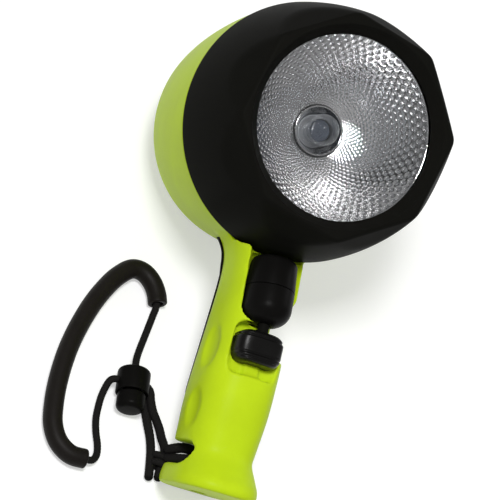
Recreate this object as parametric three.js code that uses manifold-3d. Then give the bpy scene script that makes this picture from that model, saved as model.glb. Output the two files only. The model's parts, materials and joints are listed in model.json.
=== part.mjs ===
// Pistol-grip hand spotlight, lying on its back with its wrist lanyard on the same surface.
// Millimetres, +Z up. +Y runs from the foot of the handle to the head, +X is across.
// The light is drawn in its beam frame: z along the beam, y from the handle to the head,
// zero at the middle of the bezel's rear edge. The frame is then tilted so that the back of
// the bowl and the rear of the foot touch the surface.

import * as THREE from 'three';
import { mergeVertices } from 'three/addons/utils/BufferGeometryUtils.js';
import Module from 'manifold-3d';

const wasm = await Module();
wasm.setup();

// Clearances shared by all pieces
const seatGap = 0.3;
const runningGap = 0.4;
const cutOverrun = 2;
const weldReach = 1e-4;
const DEGREE = Math.PI / 180;

// Facet counts
const bowlSides = 40;
const bezelSides = 48;
const ringSides = 36;
const barrelSides = 24;
const roundSides = 24;
const smallSides = 16;
const cellSides = 12;
const handleSides = 26;
const cordSides = 8;
const gripSides = 10;
const sealSides = 5;
const springSides = 6;
const springStepCount = 12;

// Battery cells in their ring, which sets the size of the bowl
const cellCount = 8;
const cellRadius = 13.1;
const cellLength = 50;
const cellChamfer = 0.7;
const cellButtonRadius = 3.2;
const cellButtonHeight = 1.6;
const cellPitchRadius = 34.3;
const cellSideRoom = 2.2;
const cellFrontRoom = 6.5;
const cellRearRoom = 26;
const contactBoardThickness = 1.8;
const carrierPlateThickness = 2.4;
const carrierPlateReach = 11;
const carrierHubInset = 4.8;
const carrierCoreInset = 11.7;
const carrierBoreInset = 17.8;
const bridgeHalfWidth = 8.4;
const contactPostRadius = 4;

// Housing bowl
const rimWall = 3;
const rimStep = 4.3;
const rimLength = 18;
const bowlFlankInset = 1.4;
const bowlFlankDepth = 33.4;
const bowlCornerRadius = 32;
const bowlCornerInset = 37.9;
const bowlCornerStart = 12 * DEGREE;
const bowlWall = 2.7;
const sealSection = 0.9;
const sealGrooveDepth = 2;
const sealGrooveWidth = 2.5;
const sealPlace = 9;

// Bezel
const bezelProud = 0.5;
const bezelLength = 52;
const bezelNoseDrop = 8;
const bezelTaperShare = 0.38;
const octagonCut = 3.7;
const octagonSlope = 0.45;
const octagonSides = 8;
const octagonTurn = 10.3 * DEGREE;
const bezelSkirtLength = 24;
const bezelNoseWall = 1.1;
const mouthInset = 1.3;
const mouthDepth = 5;
const lipThickness = 1;

// Lens, reflector and light engine
const lensLip = 4.3;
const lensThickness = 4;
const lensSealSection = 1;
const lensChamfer = 0.6;
const flangeWidth = 3.6;
const dishNeckRadius = 11.5;
const dishNeckHeight = 15.2;
const dishWall = 1;
const flangeThickness = 2.2;
const retainerThickness = 2.6;
const retainerWidth = 3;
const collarRadius = 11.1;
const collarHoleRadius = 7.6;
const collarHeight = 6;
const collarLip = 1.1;
const collarRounding = 1.2;
const domeRadius = 6.6;
const domeNeckHeight = 10.4;
const domeFlange = 0.8;
const domeUndercut = 10 * DEGREE;
const boardThickness = 1.6;
const sinkRadius = 13.6;
const sinkLength = 7;
const sinkGrooveDepth = 2.2;
const sinkGrooveWidth = 0.9;
const sinkGrooveCount = 3;

// Handle
const handleOverlap = 12.9;
const handleLength = 120.5;
const handleHalfWidth = 17.2;
const handleBackDepth = 23;
const handleFrontDepth = 18.2;
const handleBackSquareness = 3.2;
const handleFrontSquareness = 2.6;
const scoopLength = 21;
const scoopWidth = 10;
const scoopDepth = 1.9;
const scoopBulge = 3;
const scoopReach = 58;
const scoopPitch = 29;
const scoopCount = 2;
const scoopForward = 2;

// Spine strip along the back of the handle
const stripWidth = 29;
const stripFlareWidth = 40;
const stripFlareLength = 12;
const stripBowlGap = 0.5;
const stripReach = 85;
const stripSideDepth = 15.5;
const stripSunk = 0.8;
const stripProud = 1.1;
const stripEndRadius = 8;

// Switch: a rod in a sealed barrel, tilted out of the handle, with a thumb slide on its end
const barrelTilt = 15 * DEGREE;
const barrelSetDown = 21.6;
const barrelPlaceForward = 12.5;
const barrelRadius = 11;
const barrelTopRadius = 10.2;
const barrelTopReach = 18.4;
const barrelSeamReach = 5.9;
const barrelEndReach = 9.8;
const barrelEndRounding = 7;
const seamShoulder = 0.9;
const rodRadius = 2.5;
const rodSink = 5;
const magnetRadius = 3.6;
const magnetLength = 4;
const chamberRadius = 4.1;
const chamberTopWall = 1.1;
const reedWidth = 14;
const reedHeight = 8;
const reedDepth = 4.5;
const reedSideRoom = 3;
const slideTravelUp = 2.6;
const slideTravelDown = 3;
const slideSetDown = 13.1;
const slideWidth = 21;
const slideLength = 16;
const slideFace = 22.5;
const slideCornerRadius = 4;
const slideEdgeRounding = 1.6;
const slideGrooveRadius = 1.1;
const slideGroovePitch = 4.6;
const slideFloorOffset = 6.7;
const recessSideGap = 0.7;
const recessHeight = 18;
const recessSetDown = 35.4;
const recessCornerRadius = 8;
const railWidth = 7;
const railHeight = 1.7;

// Lanyard slot and pin
const slotHeightUp = 14.2;
const slotHeight = 10.6;
const slotDepthForward = 10;
const pinRadius = 3.7;
const pinPlaceForward = -9;
const pinTopSink = 6;
const pinHeadRecess = 0.6;

// Lanyard
const lanyardSpan = 100;
const lanyardUnitShare = 0.01;
const lanyardSlotReach = 136.94;
const cordRadius = 1.75;
const gripRadius = 4.4;
const hitchLevelOffset = 2.1;
const hitchRaise = 0.9;
const hitchEntryReach = 10.6;
const hitchExitReach = 8;
const hitchEntryShare = 0.75;
const hitchExitShare = 0.5;
const hitchTurnStart = -140 * DEGREE;
const hitchTurn = 250 * DEGREE;
const tailStartShare = 0.3;
const knotHalfWidth = 4.8;
const knotHalfLength = 6.2;
const knotHalfHeight = 4.6;
const lockRadius = 7.4;
const lockLength = 11.6;
const lockEndRounding = 2.4;
const lockSkirtLength = 2.1;
const buttonRadius = 6.4;
const buttonLength = 8;
const buttonRounding = 2.2;
const buttonEdge = 0.6;
const buttonGap = 2.4;
const buttonStemRadius = 3.4;
const buttonStemLength = 6.6;
const lockBoreRadius = 3.9;
const lockBoreDepth = 9.4;
const springWireRadius = 0.25;
const springRadius = 1.9;
const springTurnCount = 3;
const springLength = 4;

// Places that follow from the sizes above
const cellRearHeight = -cellLength - cellFrontRoom;
const bowlDepth = cellRearRoom - cellRearHeight;
const rimInnerRadius = cellPitchRadius + cellRadius + cellSideRoom;
const rimOuterRadius = rimInnerRadius + rimWall;
const bowlShoulderRadius = rimOuterRadius + rimStep;
const bowlFlankRadius = bowlShoulderRadius - bowlFlankInset;
const bowlCornerCentreRadius = bowlShoulderRadius - bowlCornerInset;
const carrierPlateRadius = cellPitchRadius + carrierPlateReach;
const carrierHubRadius = cellPitchRadius - carrierHubInset;
const carrierCoreRadius = cellPitchRadius - carrierCoreInset;
const carrierBoreRadius = cellPitchRadius - carrierBoreInset;
const bezelRearRadius = bowlShoulderRadius + bezelProud;
const bezelNoseRadius = bezelRearRadius - bezelNoseDrop;
const octagonApothem = bezelNoseRadius - octagonCut;
const mouthRadius = octagonApothem - mouthInset;
const lensRadius = octagonApothem - bezelNoseWall;
const openingRadius = lensRadius - lensLip;
const dishRimRadius = lensRadius - flangeWidth;
const retainerInnerRadius = lensRadius - retainerWidth;
const handleTop = bowlShoulderRadius - handleOverlap;
const handleBottom = handleTop + handleLength;
const scoopPlaceDown = handleTop + scoopReach;
const stripTopRadius = bowlShoulderRadius + stripBowlGap;
const stripFlareEnd = stripTopRadius + stripFlareLength;
const stripBottom = handleTop + stripReach;
const barrelPlaceDown = bezelRearRadius + barrelSetDown;
const reedPlaceRadius = rimInnerRadius - reedSideRoom;
const slideTop = barrelPlaceDown + slideSetDown;
const recessEnd = barrelPlaceDown + recessSetDown;
const slotPlaceDown = handleBottom - slotHeightUp;
const lensFront = bezelLength - mouthDepth - lipThickness;
const lensBack = lensFront - lensThickness;
const dishRimHeight = lensBack - seatGap;
const flangeRadius = lensRadius;
const flangeBack = dishRimHeight - flangeThickness;
const pocketRadius = lensRadius + runningGap;
const dishCurve = (dishRimRadius ** 2 - dishNeckRadius ** 2) / (dishRimHeight - dishNeckHeight);
const boardFront = dishNeckHeight - collarHeight;
const boardBack = boardFront - boardThickness;
const sinkFront = boardBack - seatGap;
const sinkBack = sinkFront - sinkLength;
const cellFrontHeight = cellRearHeight + cellLength;
const boardRearHeight = cellFrontHeight + cellButtonHeight + seatGap;
const boardTopHeight = boardRearHeight + contactBoardThickness;
const skirtRadius = rimOuterRadius + runningGap;
const barrelAxis = new THREE.Vector3(0, Math.cos(barrelTilt), -Math.sin(barrelTilt));
const barrelOrigin = new THREE.Vector3(0, -barrelPlaceDown, barrelPlaceForward);
const slotTop = -slotPlaceDown + slotHeight / 2;
const slotBottom = -slotPlaceDown - slotHeight / 2;
const magnetTopReach = barrelTopReach - chamberTopWall - slideTravelUp - seatGap;
const rodTopReach = magnetTopReach - magnetLength - seatGap;
const slideTopReach = (slideTop - barrelPlaceDown) / Math.cos(barrelTilt);
const carrierFloor = cellRearHeight - contactBoardThickness - 2 * seatGap;
const recessHalfWidth = slideWidth / 2 + recessSideGap;
const recessLowReach = (recessEnd - barrelPlaceDown) / Math.cos(barrelTilt)
  + slideFloorOffset * Math.tan(barrelTilt);

// Solids from geometries
function cleaned(geometry) {
  const bare = geometry.clone();
  bare.deleteAttribute('normal');
  bare.deleteAttribute('uv');
  const merged = mergeVertices(bare, weldReach);
  const index = merged.index.array;
  const kept = [];
  for (let i = 0; i < index.length; i += 3) {
    const [a, b, c] = [index[i], index[i + 1], index[i + 2]];
    if (a !== b && b !== c && c !== a) kept.push(a, b, c);
  }
  merged.setIndex(kept);
  return merged;
}

function solid(geometry) {
  const merged = cleaned(geometry);
  return new wasm.Manifold(new wasm.Mesh({
    numProp: 3,
    vertProperties: new Float32Array(merged.attributes.position.array),
    triVerts: new Uint32Array(merged.index.array),
  }));
}

function geometryOf(manifold) {
  const mesh = manifold.getMesh();
  const geometry = new THREE.BufferGeometry();
  geometry.setAttribute('position', new THREE.BufferAttribute(new Float32Array(mesh.vertProperties), 3));
  geometry.setIndex(Array.from(mesh.triVerts));
  geometry.computeVertexNormals();
  return geometry;
}

// A profile of [radius, height] pairs turned about z
function revolve(profile, sides) {
  const loop = profile.map(([radius, height]) => new THREE.Vector2(radius, height));
  if (THREE.ShapeUtils.isClockWise(loop)) loop.reverse();
  if (loop[0].x !== 0) loop.push(loop[0].clone());
  return new THREE.LatheGeometry(loop, sides).rotateX(Math.PI / 2);
}

function arc(centreRadius, centreHeight, radius, from, to, steps) {
  const points = [];
  for (let i = 0; i <= steps; i += 1) {
    const angle = from + ((to - from) * i) / steps;
    points.push([centreRadius + radius * Math.cos(angle), centreHeight + radius * Math.sin(angle)]);
  }
  return points;
}

function disc(radius, bottom, top, sides) {
  return revolve([[0, bottom], [radius, bottom], [radius, top], [0, top]], sides);
}

function box(width, depth, height) {
  return new THREE.BoxGeometry(width, depth, height);
}

// A rounded rectangle drawn about zero
function roundedRectangle(width, height, radius) {
  const shape = new THREE.Shape();
  const w = width / 2;
  const h = height / 2;
  shape.moveTo(w, h - radius);
  shape.absarc(w - radius, h - radius, radius, 0, Math.PI / 2, false);
  shape.absarc(-w + radius, h - radius, radius, Math.PI / 2, Math.PI, false);
  shape.absarc(-w + radius, -h + radius, radius, Math.PI, 1.5 * Math.PI, false);
  shape.absarc(w - radius, -h + radius, radius, 1.5 * Math.PI, 2 * Math.PI, false);
  return shape;
}

function plate(shape, depth, curveSegments = 5) {
  return new THREE.ExtrudeGeometry(shape, { depth, bevelEnabled: false, curveSegments });
}

// A round tube along a curve
function tube(curve, radius, sides, steps) {
  const section = new THREE.Shape();
  for (let i = 0; i < sides; i += 1) {
    const angle = (2 * Math.PI * i) / sides;
    const place = [radius * Math.cos(angle), radius * Math.sin(angle)];
    if (i === 0) section.moveTo(...place);
    else section.lineTo(...place);
  }
  return new THREE.ExtrudeGeometry(section, { steps, extrudePath: curve, bevelEnabled: false });
}

// Puts a shape turned about z onto the barrel's axis, zero at the barrel's origin
function ontoBarrel(geometry) {
  const turn = new THREE.Quaternion().setFromUnitVectors(new THREE.Vector3(0, 0, 1), barrelAxis);
  return geometry.applyQuaternion(turn).translate(barrelOrigin.x, barrelOrigin.y, barrelOrigin.z);
}

// Handle: one rounded section drawn along the grip, given by stations of
// [down, width, back, front], as shares of the length and of the three named depths
const handleStationShares = [
  [0, 1.74, 1.56, 1.1],
  [0.05, 1.4, 1.34, 1.05],
  [0.1, 1.1, 1.11, 1.01],
  [0.15, 0.975, 0.98, 0.99],
  [0.235, 0.935, 0.92, 0.967],
  [0.34, 0.94, 0.93, 0.967],
  [0.465, 0.965, 0.957, 0.99],
  [0.67, 1, 1, 1],
  [0.8, 0.955, 0.983, 0.945],
  [0.862, 0.942, 0.974, 0.956],
  [0.912, 1.035, 0.983, 1.21],
  [0.954, 1.11, 0.991, 1.48],
  [0.982, 1.122, 0.991, 1.54],
  [1, 1.08, 0.955, 1.49],
];

function handleLoft(grow) {
  const stations = handleStationShares.map(([down, width, back, front]) => [
    -handleTop - down * handleLength,
    width * handleHalfWidth + grow,
    back * handleBackDepth + grow,
    front * handleFrontDepth + grow,
  ]);
  const places = new THREE.CatmullRomCurve3(
    stations.map((s) => new THREE.Vector3(s[0], s[1], s[2])), false, 'catmullrom', 0.5);
  const fronts = new THREE.CatmullRomCurve3(
    stations.map((s) => new THREE.Vector3(s[0], s[3], 0)), false, 'catmullrom', 0.5);
  const rings = 2 * (stations.length - 1);
  const loft = new THREE.CylinderGeometry(1, 1, 1, handleSides, rings);
  const position = loft.attributes.position;
  for (let i = 0; i < position.count; i += 1) {
    const share = Math.min(1, Math.max(0, 0.5 - position.getY(i)));
    const place = places.getPoint(share);
    const front = fronts.getPoint(share).y;
    const angle = Math.atan2(position.getZ(i), position.getX(i));
    const spread = Math.hypot(position.getX(i), position.getZ(i)) < 0.5 ? 0 : 1;
    const middle = (front - place.z) / 2;
    const depth = (front + place.z) / 2;
    const squareness = Math.sin(angle) < 0 ? handleBackSquareness : handleFrontSquareness;
    const across = Math.sign(Math.cos(angle)) * Math.abs(Math.cos(angle)) ** (2 / squareness);
    const along = Math.sign(Math.sin(angle)) * Math.abs(Math.sin(angle)) ** (2 / squareness);
    position.setXYZ(i, spread * place.y * across, place.x, middle + spread * depth * along);
  }
  return loft;
}

// Outer shape of the bowl with the rim that the bezel screws onto
function bowlOutline() {
  const centreHeight = bowlCornerRadius - bowlDepth;
  const corner = arc(bowlCornerCentreRadius, centreHeight, bowlCornerRadius,
    -bowlCornerStart, -Math.PI / 2, 7);
  const flank = new THREE.QuadraticBezierCurve(
    new THREE.Vector2(bowlShoulderRadius, -seatGap),
    new THREE.Vector2(bowlFlankRadius, -bowlFlankDepth),
    new THREE.Vector2(...corner[0]));
  const side = flank.getPoints(4).map((point) => [point.x, point.y]);
  return [
    [0, rimLength],
    [rimOuterRadius, rimLength],
    [rimOuterRadius, -seatGap],
    ...side.slice(0, -1),
    ...corner,
    [0, -bowlDepth],
  ];
}

function bowlCavity() {
  const centreHeight = bowlCornerRadius - bowlDepth;
  const innerCorner = arc(bowlCornerCentreRadius, centreHeight, bowlCornerRadius - bowlWall,
    -bowlCornerStart, -Math.PI / 2, 4);
  return [
    [0, rimLength + cutOverrun],
    [rimInnerRadius, rimLength + cutOverrun],
    [rimInnerRadius, rimLength],
    ...innerCorner,
    [0, -bowlDepth + bowlWall],
  ];
}

function barrelProfile(grow) {
  const radius = barrelRadius + grow;
  const end = -barrelEndReach - grow;
  const rounding = barrelEndRounding + grow;
  return [
    [0, end],
    ...arc(radius - rounding, end + rounding, rounding, -Math.PI / 2, 0, 5),
    [radius, barrelSeamReach],
    [barrelTopRadius + grow, barrelTopReach],
  ];
}

// The housing's cut for the barrel runs on under the bezel's edge
function barrelPocket() {
  const profile = barrelProfile(seatGap);
  const reach = barrelTopReach + 2 * cutOverrun;
  return ontoBarrel(revolve([...profile, [barrelTopRadius + seatGap, reach], [0, reach]], roundSides));
}

// Frame of the thumb slide: x across, y up the barrel's axis, z out of the recess floor
function ontoSlideFloor(geometry) {
  geometry.rotateX(-barrelTilt);
  const floor = new THREE.Vector3(0, -Math.sin(barrelTilt), -Math.cos(barrelTilt))
    .multiplyScalar(slideFloorOffset);
  const start = barrelOrigin.clone().add(floor);
  return geometry.translate(start.x, start.y, start.z);
}

function slideRecess() {
  const length = recessLowReach - barrelEndReach + barrelRadius;
  const shape = roundedRectangle(2 * recessHalfWidth, length, recessCornerRadius);
  const cut = plate(shape, recessHeight);
  return ontoSlideFloor(cut.translate(0, length / 2 - recessLowReach, 0));
}

// The rail in the recess, or with its two clearances the groove that rides on it
function slideRail(grow, above) {
  const top = -barrelEndReach - barrelEndRounding / 2 + above;
  const length = recessLowReach + top + grow;
  const rail = box(railWidth + 2 * grow, length, railHeight + grow);
  return ontoSlideFloor(rail.translate(0, top - length / 2, (railHeight + grow) / 2));
}

function lanyardSlot() {
  const back = -handleBackDepth - 2 * cutOverrun;
  const front = slotDepthForward;
  const radius = slotHeight / 2;
  const shape = new THREE.Shape();
  shape.moveTo(back, slotBottom);
  shape.lineTo(front - radius, slotBottom);
  shape.absarc(front - radius, -slotPlaceDown, radius, -Math.PI / 2, Math.PI / 2, false);
  shape.lineTo(back, slotTop);
  const width = 2 * (handleHalfWidth + 2 * cutOverrun);
  const cut = plate(shape, width, 8);
  return cut.translate(0, 0, -width / 2).rotateY(-Math.PI / 2);
}

function pinBore() {
  const bottom = -handleBottom - cutOverrun;
  const top = slotTop + pinTopSink + seatGap;
  const radius = pinRadius + seatGap;
  const bore = new THREE.CylinderGeometry(radius, radius, top - bottom, smallSides);
  return bore.translate(0, (top + bottom) / 2, pinPlaceForward);
}

function scoop(side, down) {
  const dent = new THREE.SphereGeometry(1, 18, 10);
  dent.scale(scoopBulge, scoopLength / 2, scoopWidth / 2);
  return dent.translate(side * (handleHalfWidth + scoopBulge - scoopDepth), -down, scoopForward);
}

// The strip's footprint on the back of the handle, deep enough to cut a band of the loft.
// Its top follows the bowl and flares with the handle, and its bottom is rounded.
function stripBand(grow) {
  const half = stripWidth / 2 + grow;
  const flare = stripFlareWidth / 2 + grow;
  const topRadius = stripTopRadius - grow;
  const topTurn = Math.asin(flare / topRadius);
  const endRadius = stripEndRadius + grow;
  const endCentre = -stripBottom + stripEndRadius;
  const shape = new THREE.Shape();
  shape.moveTo(-half, -stripFlareEnd);
  shape.lineTo(-flare, -topRadius * Math.cos(topTurn));
  shape.absarc(0, 0, topRadius, -Math.PI / 2 - topTurn, -Math.PI / 2 + topTurn, false);
  shape.lineTo(half, -stripFlareEnd);
  shape.absarc(half - endRadius, endCentre, endRadius, 0, -Math.PI / 2, true);
  shape.absarc(-half + endRadius, endCentre, endRadius, -Math.PI / 2, -Math.PI, true);
  shape.lineTo(-half, -stripFlareEnd);
  const deepest = 2 * handleBackDepth;
  return plate(shape, deepest - stripSideDepth + grow, 5).translate(0, 0, -deepest);
}

function housing() {
  const bezelSweep = disc(bezelRearRadius + runningGap + seatGap, -seatGap, bezelLength, bowlSides);
  let body = solid(handleLoft(0)).subtract(solid(bezelSweep));
  body = body.add(solid(revolve(bowlOutline(), bowlSides)));
  body = body.subtract(solid(revolve(bowlCavity(), bowlSides)));
  const sealGroove = revolve([
    [rimOuterRadius - sealGrooveDepth, sealPlace - sealGrooveWidth / 2],
    [rimOuterRadius + cutOverrun, sealPlace - sealGrooveWidth / 2],
    [rimOuterRadius + cutOverrun, sealPlace + sealGrooveWidth / 2],
    [rimOuterRadius - sealGrooveDepth, sealPlace + sealGrooveWidth / 2],
  ], bowlSides);
  body = body.subtract(solid(sealGroove));
  body = body.subtract(solid(barrelPocket()));
  const recess = solid(slideRecess()).subtract(solid(slideRail(0, 0)));
  body = body.subtract(recess);
  body = body.subtract(solid(lanyardSlot()));
  body = body.subtract(solid(pinBore()));
  for (let i = 0; i < scoopCount; i += 1) {
    const down = scoopPlaceDown + scoopPitch * i;
    for (const side of [-1, 1]) body = body.subtract(solid(scoop(side, down)));
  }
  const channel = solid(handleLoft(2 * cutOverrun)).subtract(solid(handleLoft(-stripSunk - seatGap)));
  body = body.subtract(channel.intersect(solid(stripBand(seatGap))));
  return geometryOf(body);
}

function spineStrip() {
  const skin = solid(handleLoft(stripProud)).subtract(solid(handleLoft(-stripSunk)));
  return geometryOf(skin.intersect(solid(stripBand(0))));
}

// Bezel: a round skirt whose nose is cut to an octagon by eight sloping flats
function bezelRadiusAt(height) {
  const share = height / bezelLength;
  const fall = bezelRearRadius - bezelNoseRadius;
  return bezelRearRadius - fall * (bezelTaperShare * share + (1 - bezelTaperShare) * share ** 2);
}

function bezel() {
  const heights = 9;
  const outer = [];
  for (let i = 0; i <= heights; i += 1) {
    const height = (bezelLength * i) / heights;
    outer.push([bezelRadiusAt(height), height]);
  }
  const profile = [
    [skirtRadius, 0],
    ...outer,
    [mouthRadius, bezelLength],
    [openingRadius, bezelLength - mouthDepth],
    [openingRadius, lensFront],
    [pocketRadius, lensFront],
    [pocketRadius, bezelSkirtLength],
    [skirtRadius, bezelSkirtLength],
  ];
  const ring = revolve(profile, bezelSides);
  const position = ring.attributes.position;
  const sector = (2 * Math.PI) / octagonSides;
  for (let i = 0; i < position.count; i += 1) {
    const x = position.getX(i);
    const y = position.getY(i);
    const height = position.getZ(i);
    const angle = Math.atan2(y, x);
    const within = angle - sector * Math.round(angle / sector);
    const flat = (octagonApothem + octagonSlope * (bezelLength - height)) / Math.cos(within);
    const radius = Math.min(Math.hypot(x, y), flat);
    position.setXY(i, radius * Math.cos(angle), radius * Math.sin(angle));
  }
  return geometryOf(solid(ring.rotateZ(octagonTurn + sector / 2)));
}

function retainingRing() {
  const front = flangeBack - seatGap;
  return revolve([
    [retainerInnerRadius, front - retainerThickness],
    [lensRadius, front - retainerThickness],
    [lensRadius, front],
    [retainerInnerRadius, front],
  ], bowlSides);
}

function lens() {
  const sealStep = 2 * lensSealSection + 2 * seatGap;
  return revolve([
    [0, lensBack],
    [lensRadius, lensBack],
    [lensRadius, lensFront - sealStep],
    [lensRadius - sealStep, lensFront - sealStep],
    [lensRadius - sealStep, lensFront - seatGap - lensChamfer],
    [lensRadius - sealStep - lensChamfer, lensFront - seatGap],
    [0, lensFront - seatGap],
  ], bowlSides);
}

function sealRing(majorRadius, sectionRadius, place) {
  const last = 2 * Math.PI * (1 - 1 / sealSides);
  return revolve(arc(majorRadius, place, sectionRadius, 0, last, sealSides - 1), ringSides);
}

function lensSeal() {
  const radius = lensRadius - lensSealSection;
  return sealRing(radius, lensSealSection, lensFront - seatGap - lensSealSection);
}

function bodySeal() {
  const radius = rimOuterRadius - sealGrooveDepth + seatGap + sealSection;
  return sealRing(radius, sealSection, sealPlace);
}

function dishHeight(radius) {
  return dishNeckHeight + (radius ** 2 - dishNeckRadius ** 2) / dishCurve;
}

// Reflector: a parabolic dish with a flat flange in front and a short neck behind
function reflector() {
  const steps = 5;
  const inner = [];
  const outer = [];
  const lastRadius = Math.sqrt(
    dishNeckRadius ** 2 + (flangeBack + dishWall - dishNeckHeight) * dishCurve);
  for (let i = 0; i <= steps; i += 1) {
    const radius = dishNeckRadius + ((dishRimRadius - dishNeckRadius) * i) / steps;
    inner.push([radius, dishHeight(radius)]);
    const behind = dishNeckRadius + ((lastRadius - dishNeckRadius) * i) / steps;
    outer.push([behind + dishWall, dishHeight(behind) - dishWall]);
  }
  return revolve([
    ...inner,
    [flangeRadius, dishRimHeight],
    [flangeRadius, flangeBack],
    ...outer.reverse(),
    [dishNeckRadius + dishWall, boardFront],
    [dishNeckRadius, boardFront],
  ], ringSides);
}

function ledCollar() {
  const base = boardFront + seatGap;
  const top = base + collarHeight + collarLip;
  return revolve([
    [collarHoleRadius, base],
    [collarRadius, base],
    [collarRadius, top - collarRounding],
    [collarRadius - collarRounding, top],
    [collarHoleRadius + 2 * collarRounding, top],
    [collarHoleRadius, top - 2 * collarRounding],
  ], smallSides);
}

function ledDome() {
  const base = boardFront + seatGap;
  const centre = base + domeNeckHeight;
  return revolve([
    [0, base],
    [domeRadius + domeFlange, base],
    [domeRadius + domeFlange, base + domeFlange],
    ...arc(0, centre, domeRadius, -domeUndercut, Math.PI / 2, 8).slice(0, -1),
    [0, centre + domeRadius],
  ], smallSides);
}

function ledBoard() {
  return disc(sinkRadius, boardBack, boardFront - seatGap, roundSides);
}

function heatSink() {
  const profile = [[0, sinkBack]];
  const pitch = sinkLength / (sinkGrooveCount + 1);
  profile.push([sinkRadius, sinkBack]);
  for (let i = 1; i <= sinkGrooveCount; i += 1) {
    const place = sinkBack + pitch * i;
    profile.push([sinkRadius, place - sinkGrooveWidth / 2]);
    profile.push([sinkRadius - sinkGrooveDepth, place - sinkGrooveWidth / 2]);
    profile.push([sinkRadius - sinkGrooveDepth, place + sinkGrooveWidth / 2]);
    profile.push([sinkRadius, place + sinkGrooveWidth / 2]);
  }
  profile.push([sinkRadius, sinkFront], [0, sinkFront]);
  return revolve(profile, smallSides);
}

function contactPost() {
  return disc(contactPostRadius, boardTopHeight + seatGap, sinkBack - seatGap, smallSides);
}

function contactBoard() {
  return disc(carrierPlateRadius, boardRearHeight, boardTopHeight, roundSides);
}

// Carrier: a star-shaped hub that the cells lie against, on a round rear plate
function batteryCarrier() {
  const rear = carrierFloor - carrierPlateThickness;
  let hub = solid(revolve([
    [carrierBoreRadius, rear],
    [carrierPlateRadius, rear],
    [carrierPlateRadius, carrierFloor],
    [carrierCoreRadius, carrierFloor],
    [carrierCoreRadius, cellRearHeight],
    [carrierHubRadius, cellRearHeight],
    [carrierHubRadius, cellFrontHeight],
    [carrierBoreRadius, cellFrontHeight],
  ], roundSides));
  for (let i = 0; i < cellCount; i += 1) {
    const angle = (2 * Math.PI * i) / cellCount;
    const bay = disc(cellRadius + runningGap, carrierFloor, cellFrontHeight + cutOverrun, cellSides);
    bay.rotateZ(angle);
    bay.translate(cellPitchRadius * Math.cos(angle), cellPitchRadius * Math.sin(angle), 0);
    hub = hub.subtract(solid(bay));
  }
  return geometryOf(hub);
}

// A strip that joins the rear ends of two neighbouring cells
function bridgeContact(pair) {
  const step = (2 * Math.PI) / cellCount;
  const spread = 2 * cellPitchRadius * Math.sin(step / 2);
  const cornerRadius = bridgeHalfWidth - seatGap;
  const shape = roundedRectangle(2 * bridgeHalfWidth, spread + 2 * bridgeHalfWidth, cornerRadius);
  const strip = plate(shape, contactBoardThickness, 3);
  strip.translate(cellPitchRadius * Math.cos(step / 2), 0, carrierFloor + seatGap);
  return strip.rotateZ(step * (2 * pair + 0.5));
}

function batteryCell(index) {
  const angle = (2 * Math.PI * index) / cellCount;
  const cell = revolve([
    [0, 0],
    [cellRadius - cellChamfer, 0],
    [cellRadius, cellChamfer],
    [cellRadius, cellLength - cellChamfer],
    [cellRadius - cellChamfer, cellLength],
    [cellButtonRadius, cellLength],
    [cellButtonRadius, cellLength + cellButtonHeight],
    [0, cellLength + cellButtonHeight],
  ], cellSides);
  cell.rotateZ(angle);
  return cell.translate(
    cellPitchRadius * Math.cos(angle), cellPitchRadius * Math.sin(angle), cellRearHeight);
}

function reedSwitch() {
  const module = box(reedWidth, reedDepth, reedHeight);
  return module.translate(0, -reedPlaceRadius + reedDepth / 2,
    boardTopHeight + seatGap + reedHeight / 2);
}

// Barrel: an upper sleeve with the magnet's chamber and a lower boot with a rounded end
function switchSleeve() {
  const base = barrelSeamReach + seatGap;
  return ontoBarrel(revolve([
    [0, barrelTopReach - chamberTopWall],
    [chamberRadius, barrelTopReach - chamberTopWall],
    [chamberRadius, base],
    [barrelRadius - seamShoulder, base],
    [barrelRadius, base + seamShoulder],
    [barrelTopRadius, barrelTopReach],
    [0, barrelTopReach],
  ], barrelSides));
}

function switchBoot() {
  const bore = rodRadius + seatGap;
  const rounding = barrelEndRounding;
  return ontoBarrel(revolve([
    [bore, -barrelEndReach],
    ...arc(barrelRadius - rounding, -barrelEndReach + rounding, rounding, -Math.PI / 2, 0, 5),
    [barrelRadius, barrelSeamReach - seamShoulder],
    [barrelRadius - seamShoulder, barrelSeamReach],
    [bore, barrelSeamReach],
  ], barrelSides));
}

function switchRod() {
  return ontoBarrel(disc(rodRadius, -slideTopReach - rodSink, rodTopReach, smallSides));
}

function switchMagnet() {
  const bottom = magnetTopReach - magnetLength;
  return ontoBarrel(disc(magnetRadius, bottom, magnetTopReach, smallSides));
}

function switchSlide() {
  const base = slideFace - recessHeight;
  const bevel = slideEdgeRounding;
  const shape = roundedRectangle(
    slideWidth - 2 * bevel, slideLength - 2 * bevel, slideCornerRadius - bevel);
  const block = new THREE.ExtrudeGeometry(shape, {
    depth: recessHeight - 2 * bevel,
    bevelEnabled: true,
    bevelThickness: bevel,
    bevelSize: bevel,
    bevelSegments: 3,
    curveSegments: 4,
  });
  block.translate(0, -slideTop - slideLength / 2, base + bevel);
  let body = solid(block);
  const under = box(2 * slideWidth, 4 * slideLength, recessHeight);
  const underCut = ontoSlideFloor(under.translate(0, -2 * slideLength, seatGap - recessHeight / 2));
  body = body.subtract(solid(underCut));
  body = body.subtract(solid(slideRail(seatGap, slideTravelDown + seatGap)));
  for (const side of [-1, 1]) {
    const groove = new THREE.CylinderGeometry(
      slideGrooveRadius, slideGrooveRadius, 2 * slideWidth, 10);
    groove.rotateZ(Math.PI / 2);
    groove.translate(0, -slideTop - slideLength / 2 + (side * slideGroovePitch) / 2,
      slideFace + slideGrooveRadius / 4);
    body = body.subtract(solid(groove));
  }
  const bore = disc(rodRadius + seatGap, -slideTopReach - rodSink - seatGap, 0, smallSides);
  body = body.subtract(solid(ontoBarrel(bore)));
  return geometryOf(body);
}

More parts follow.
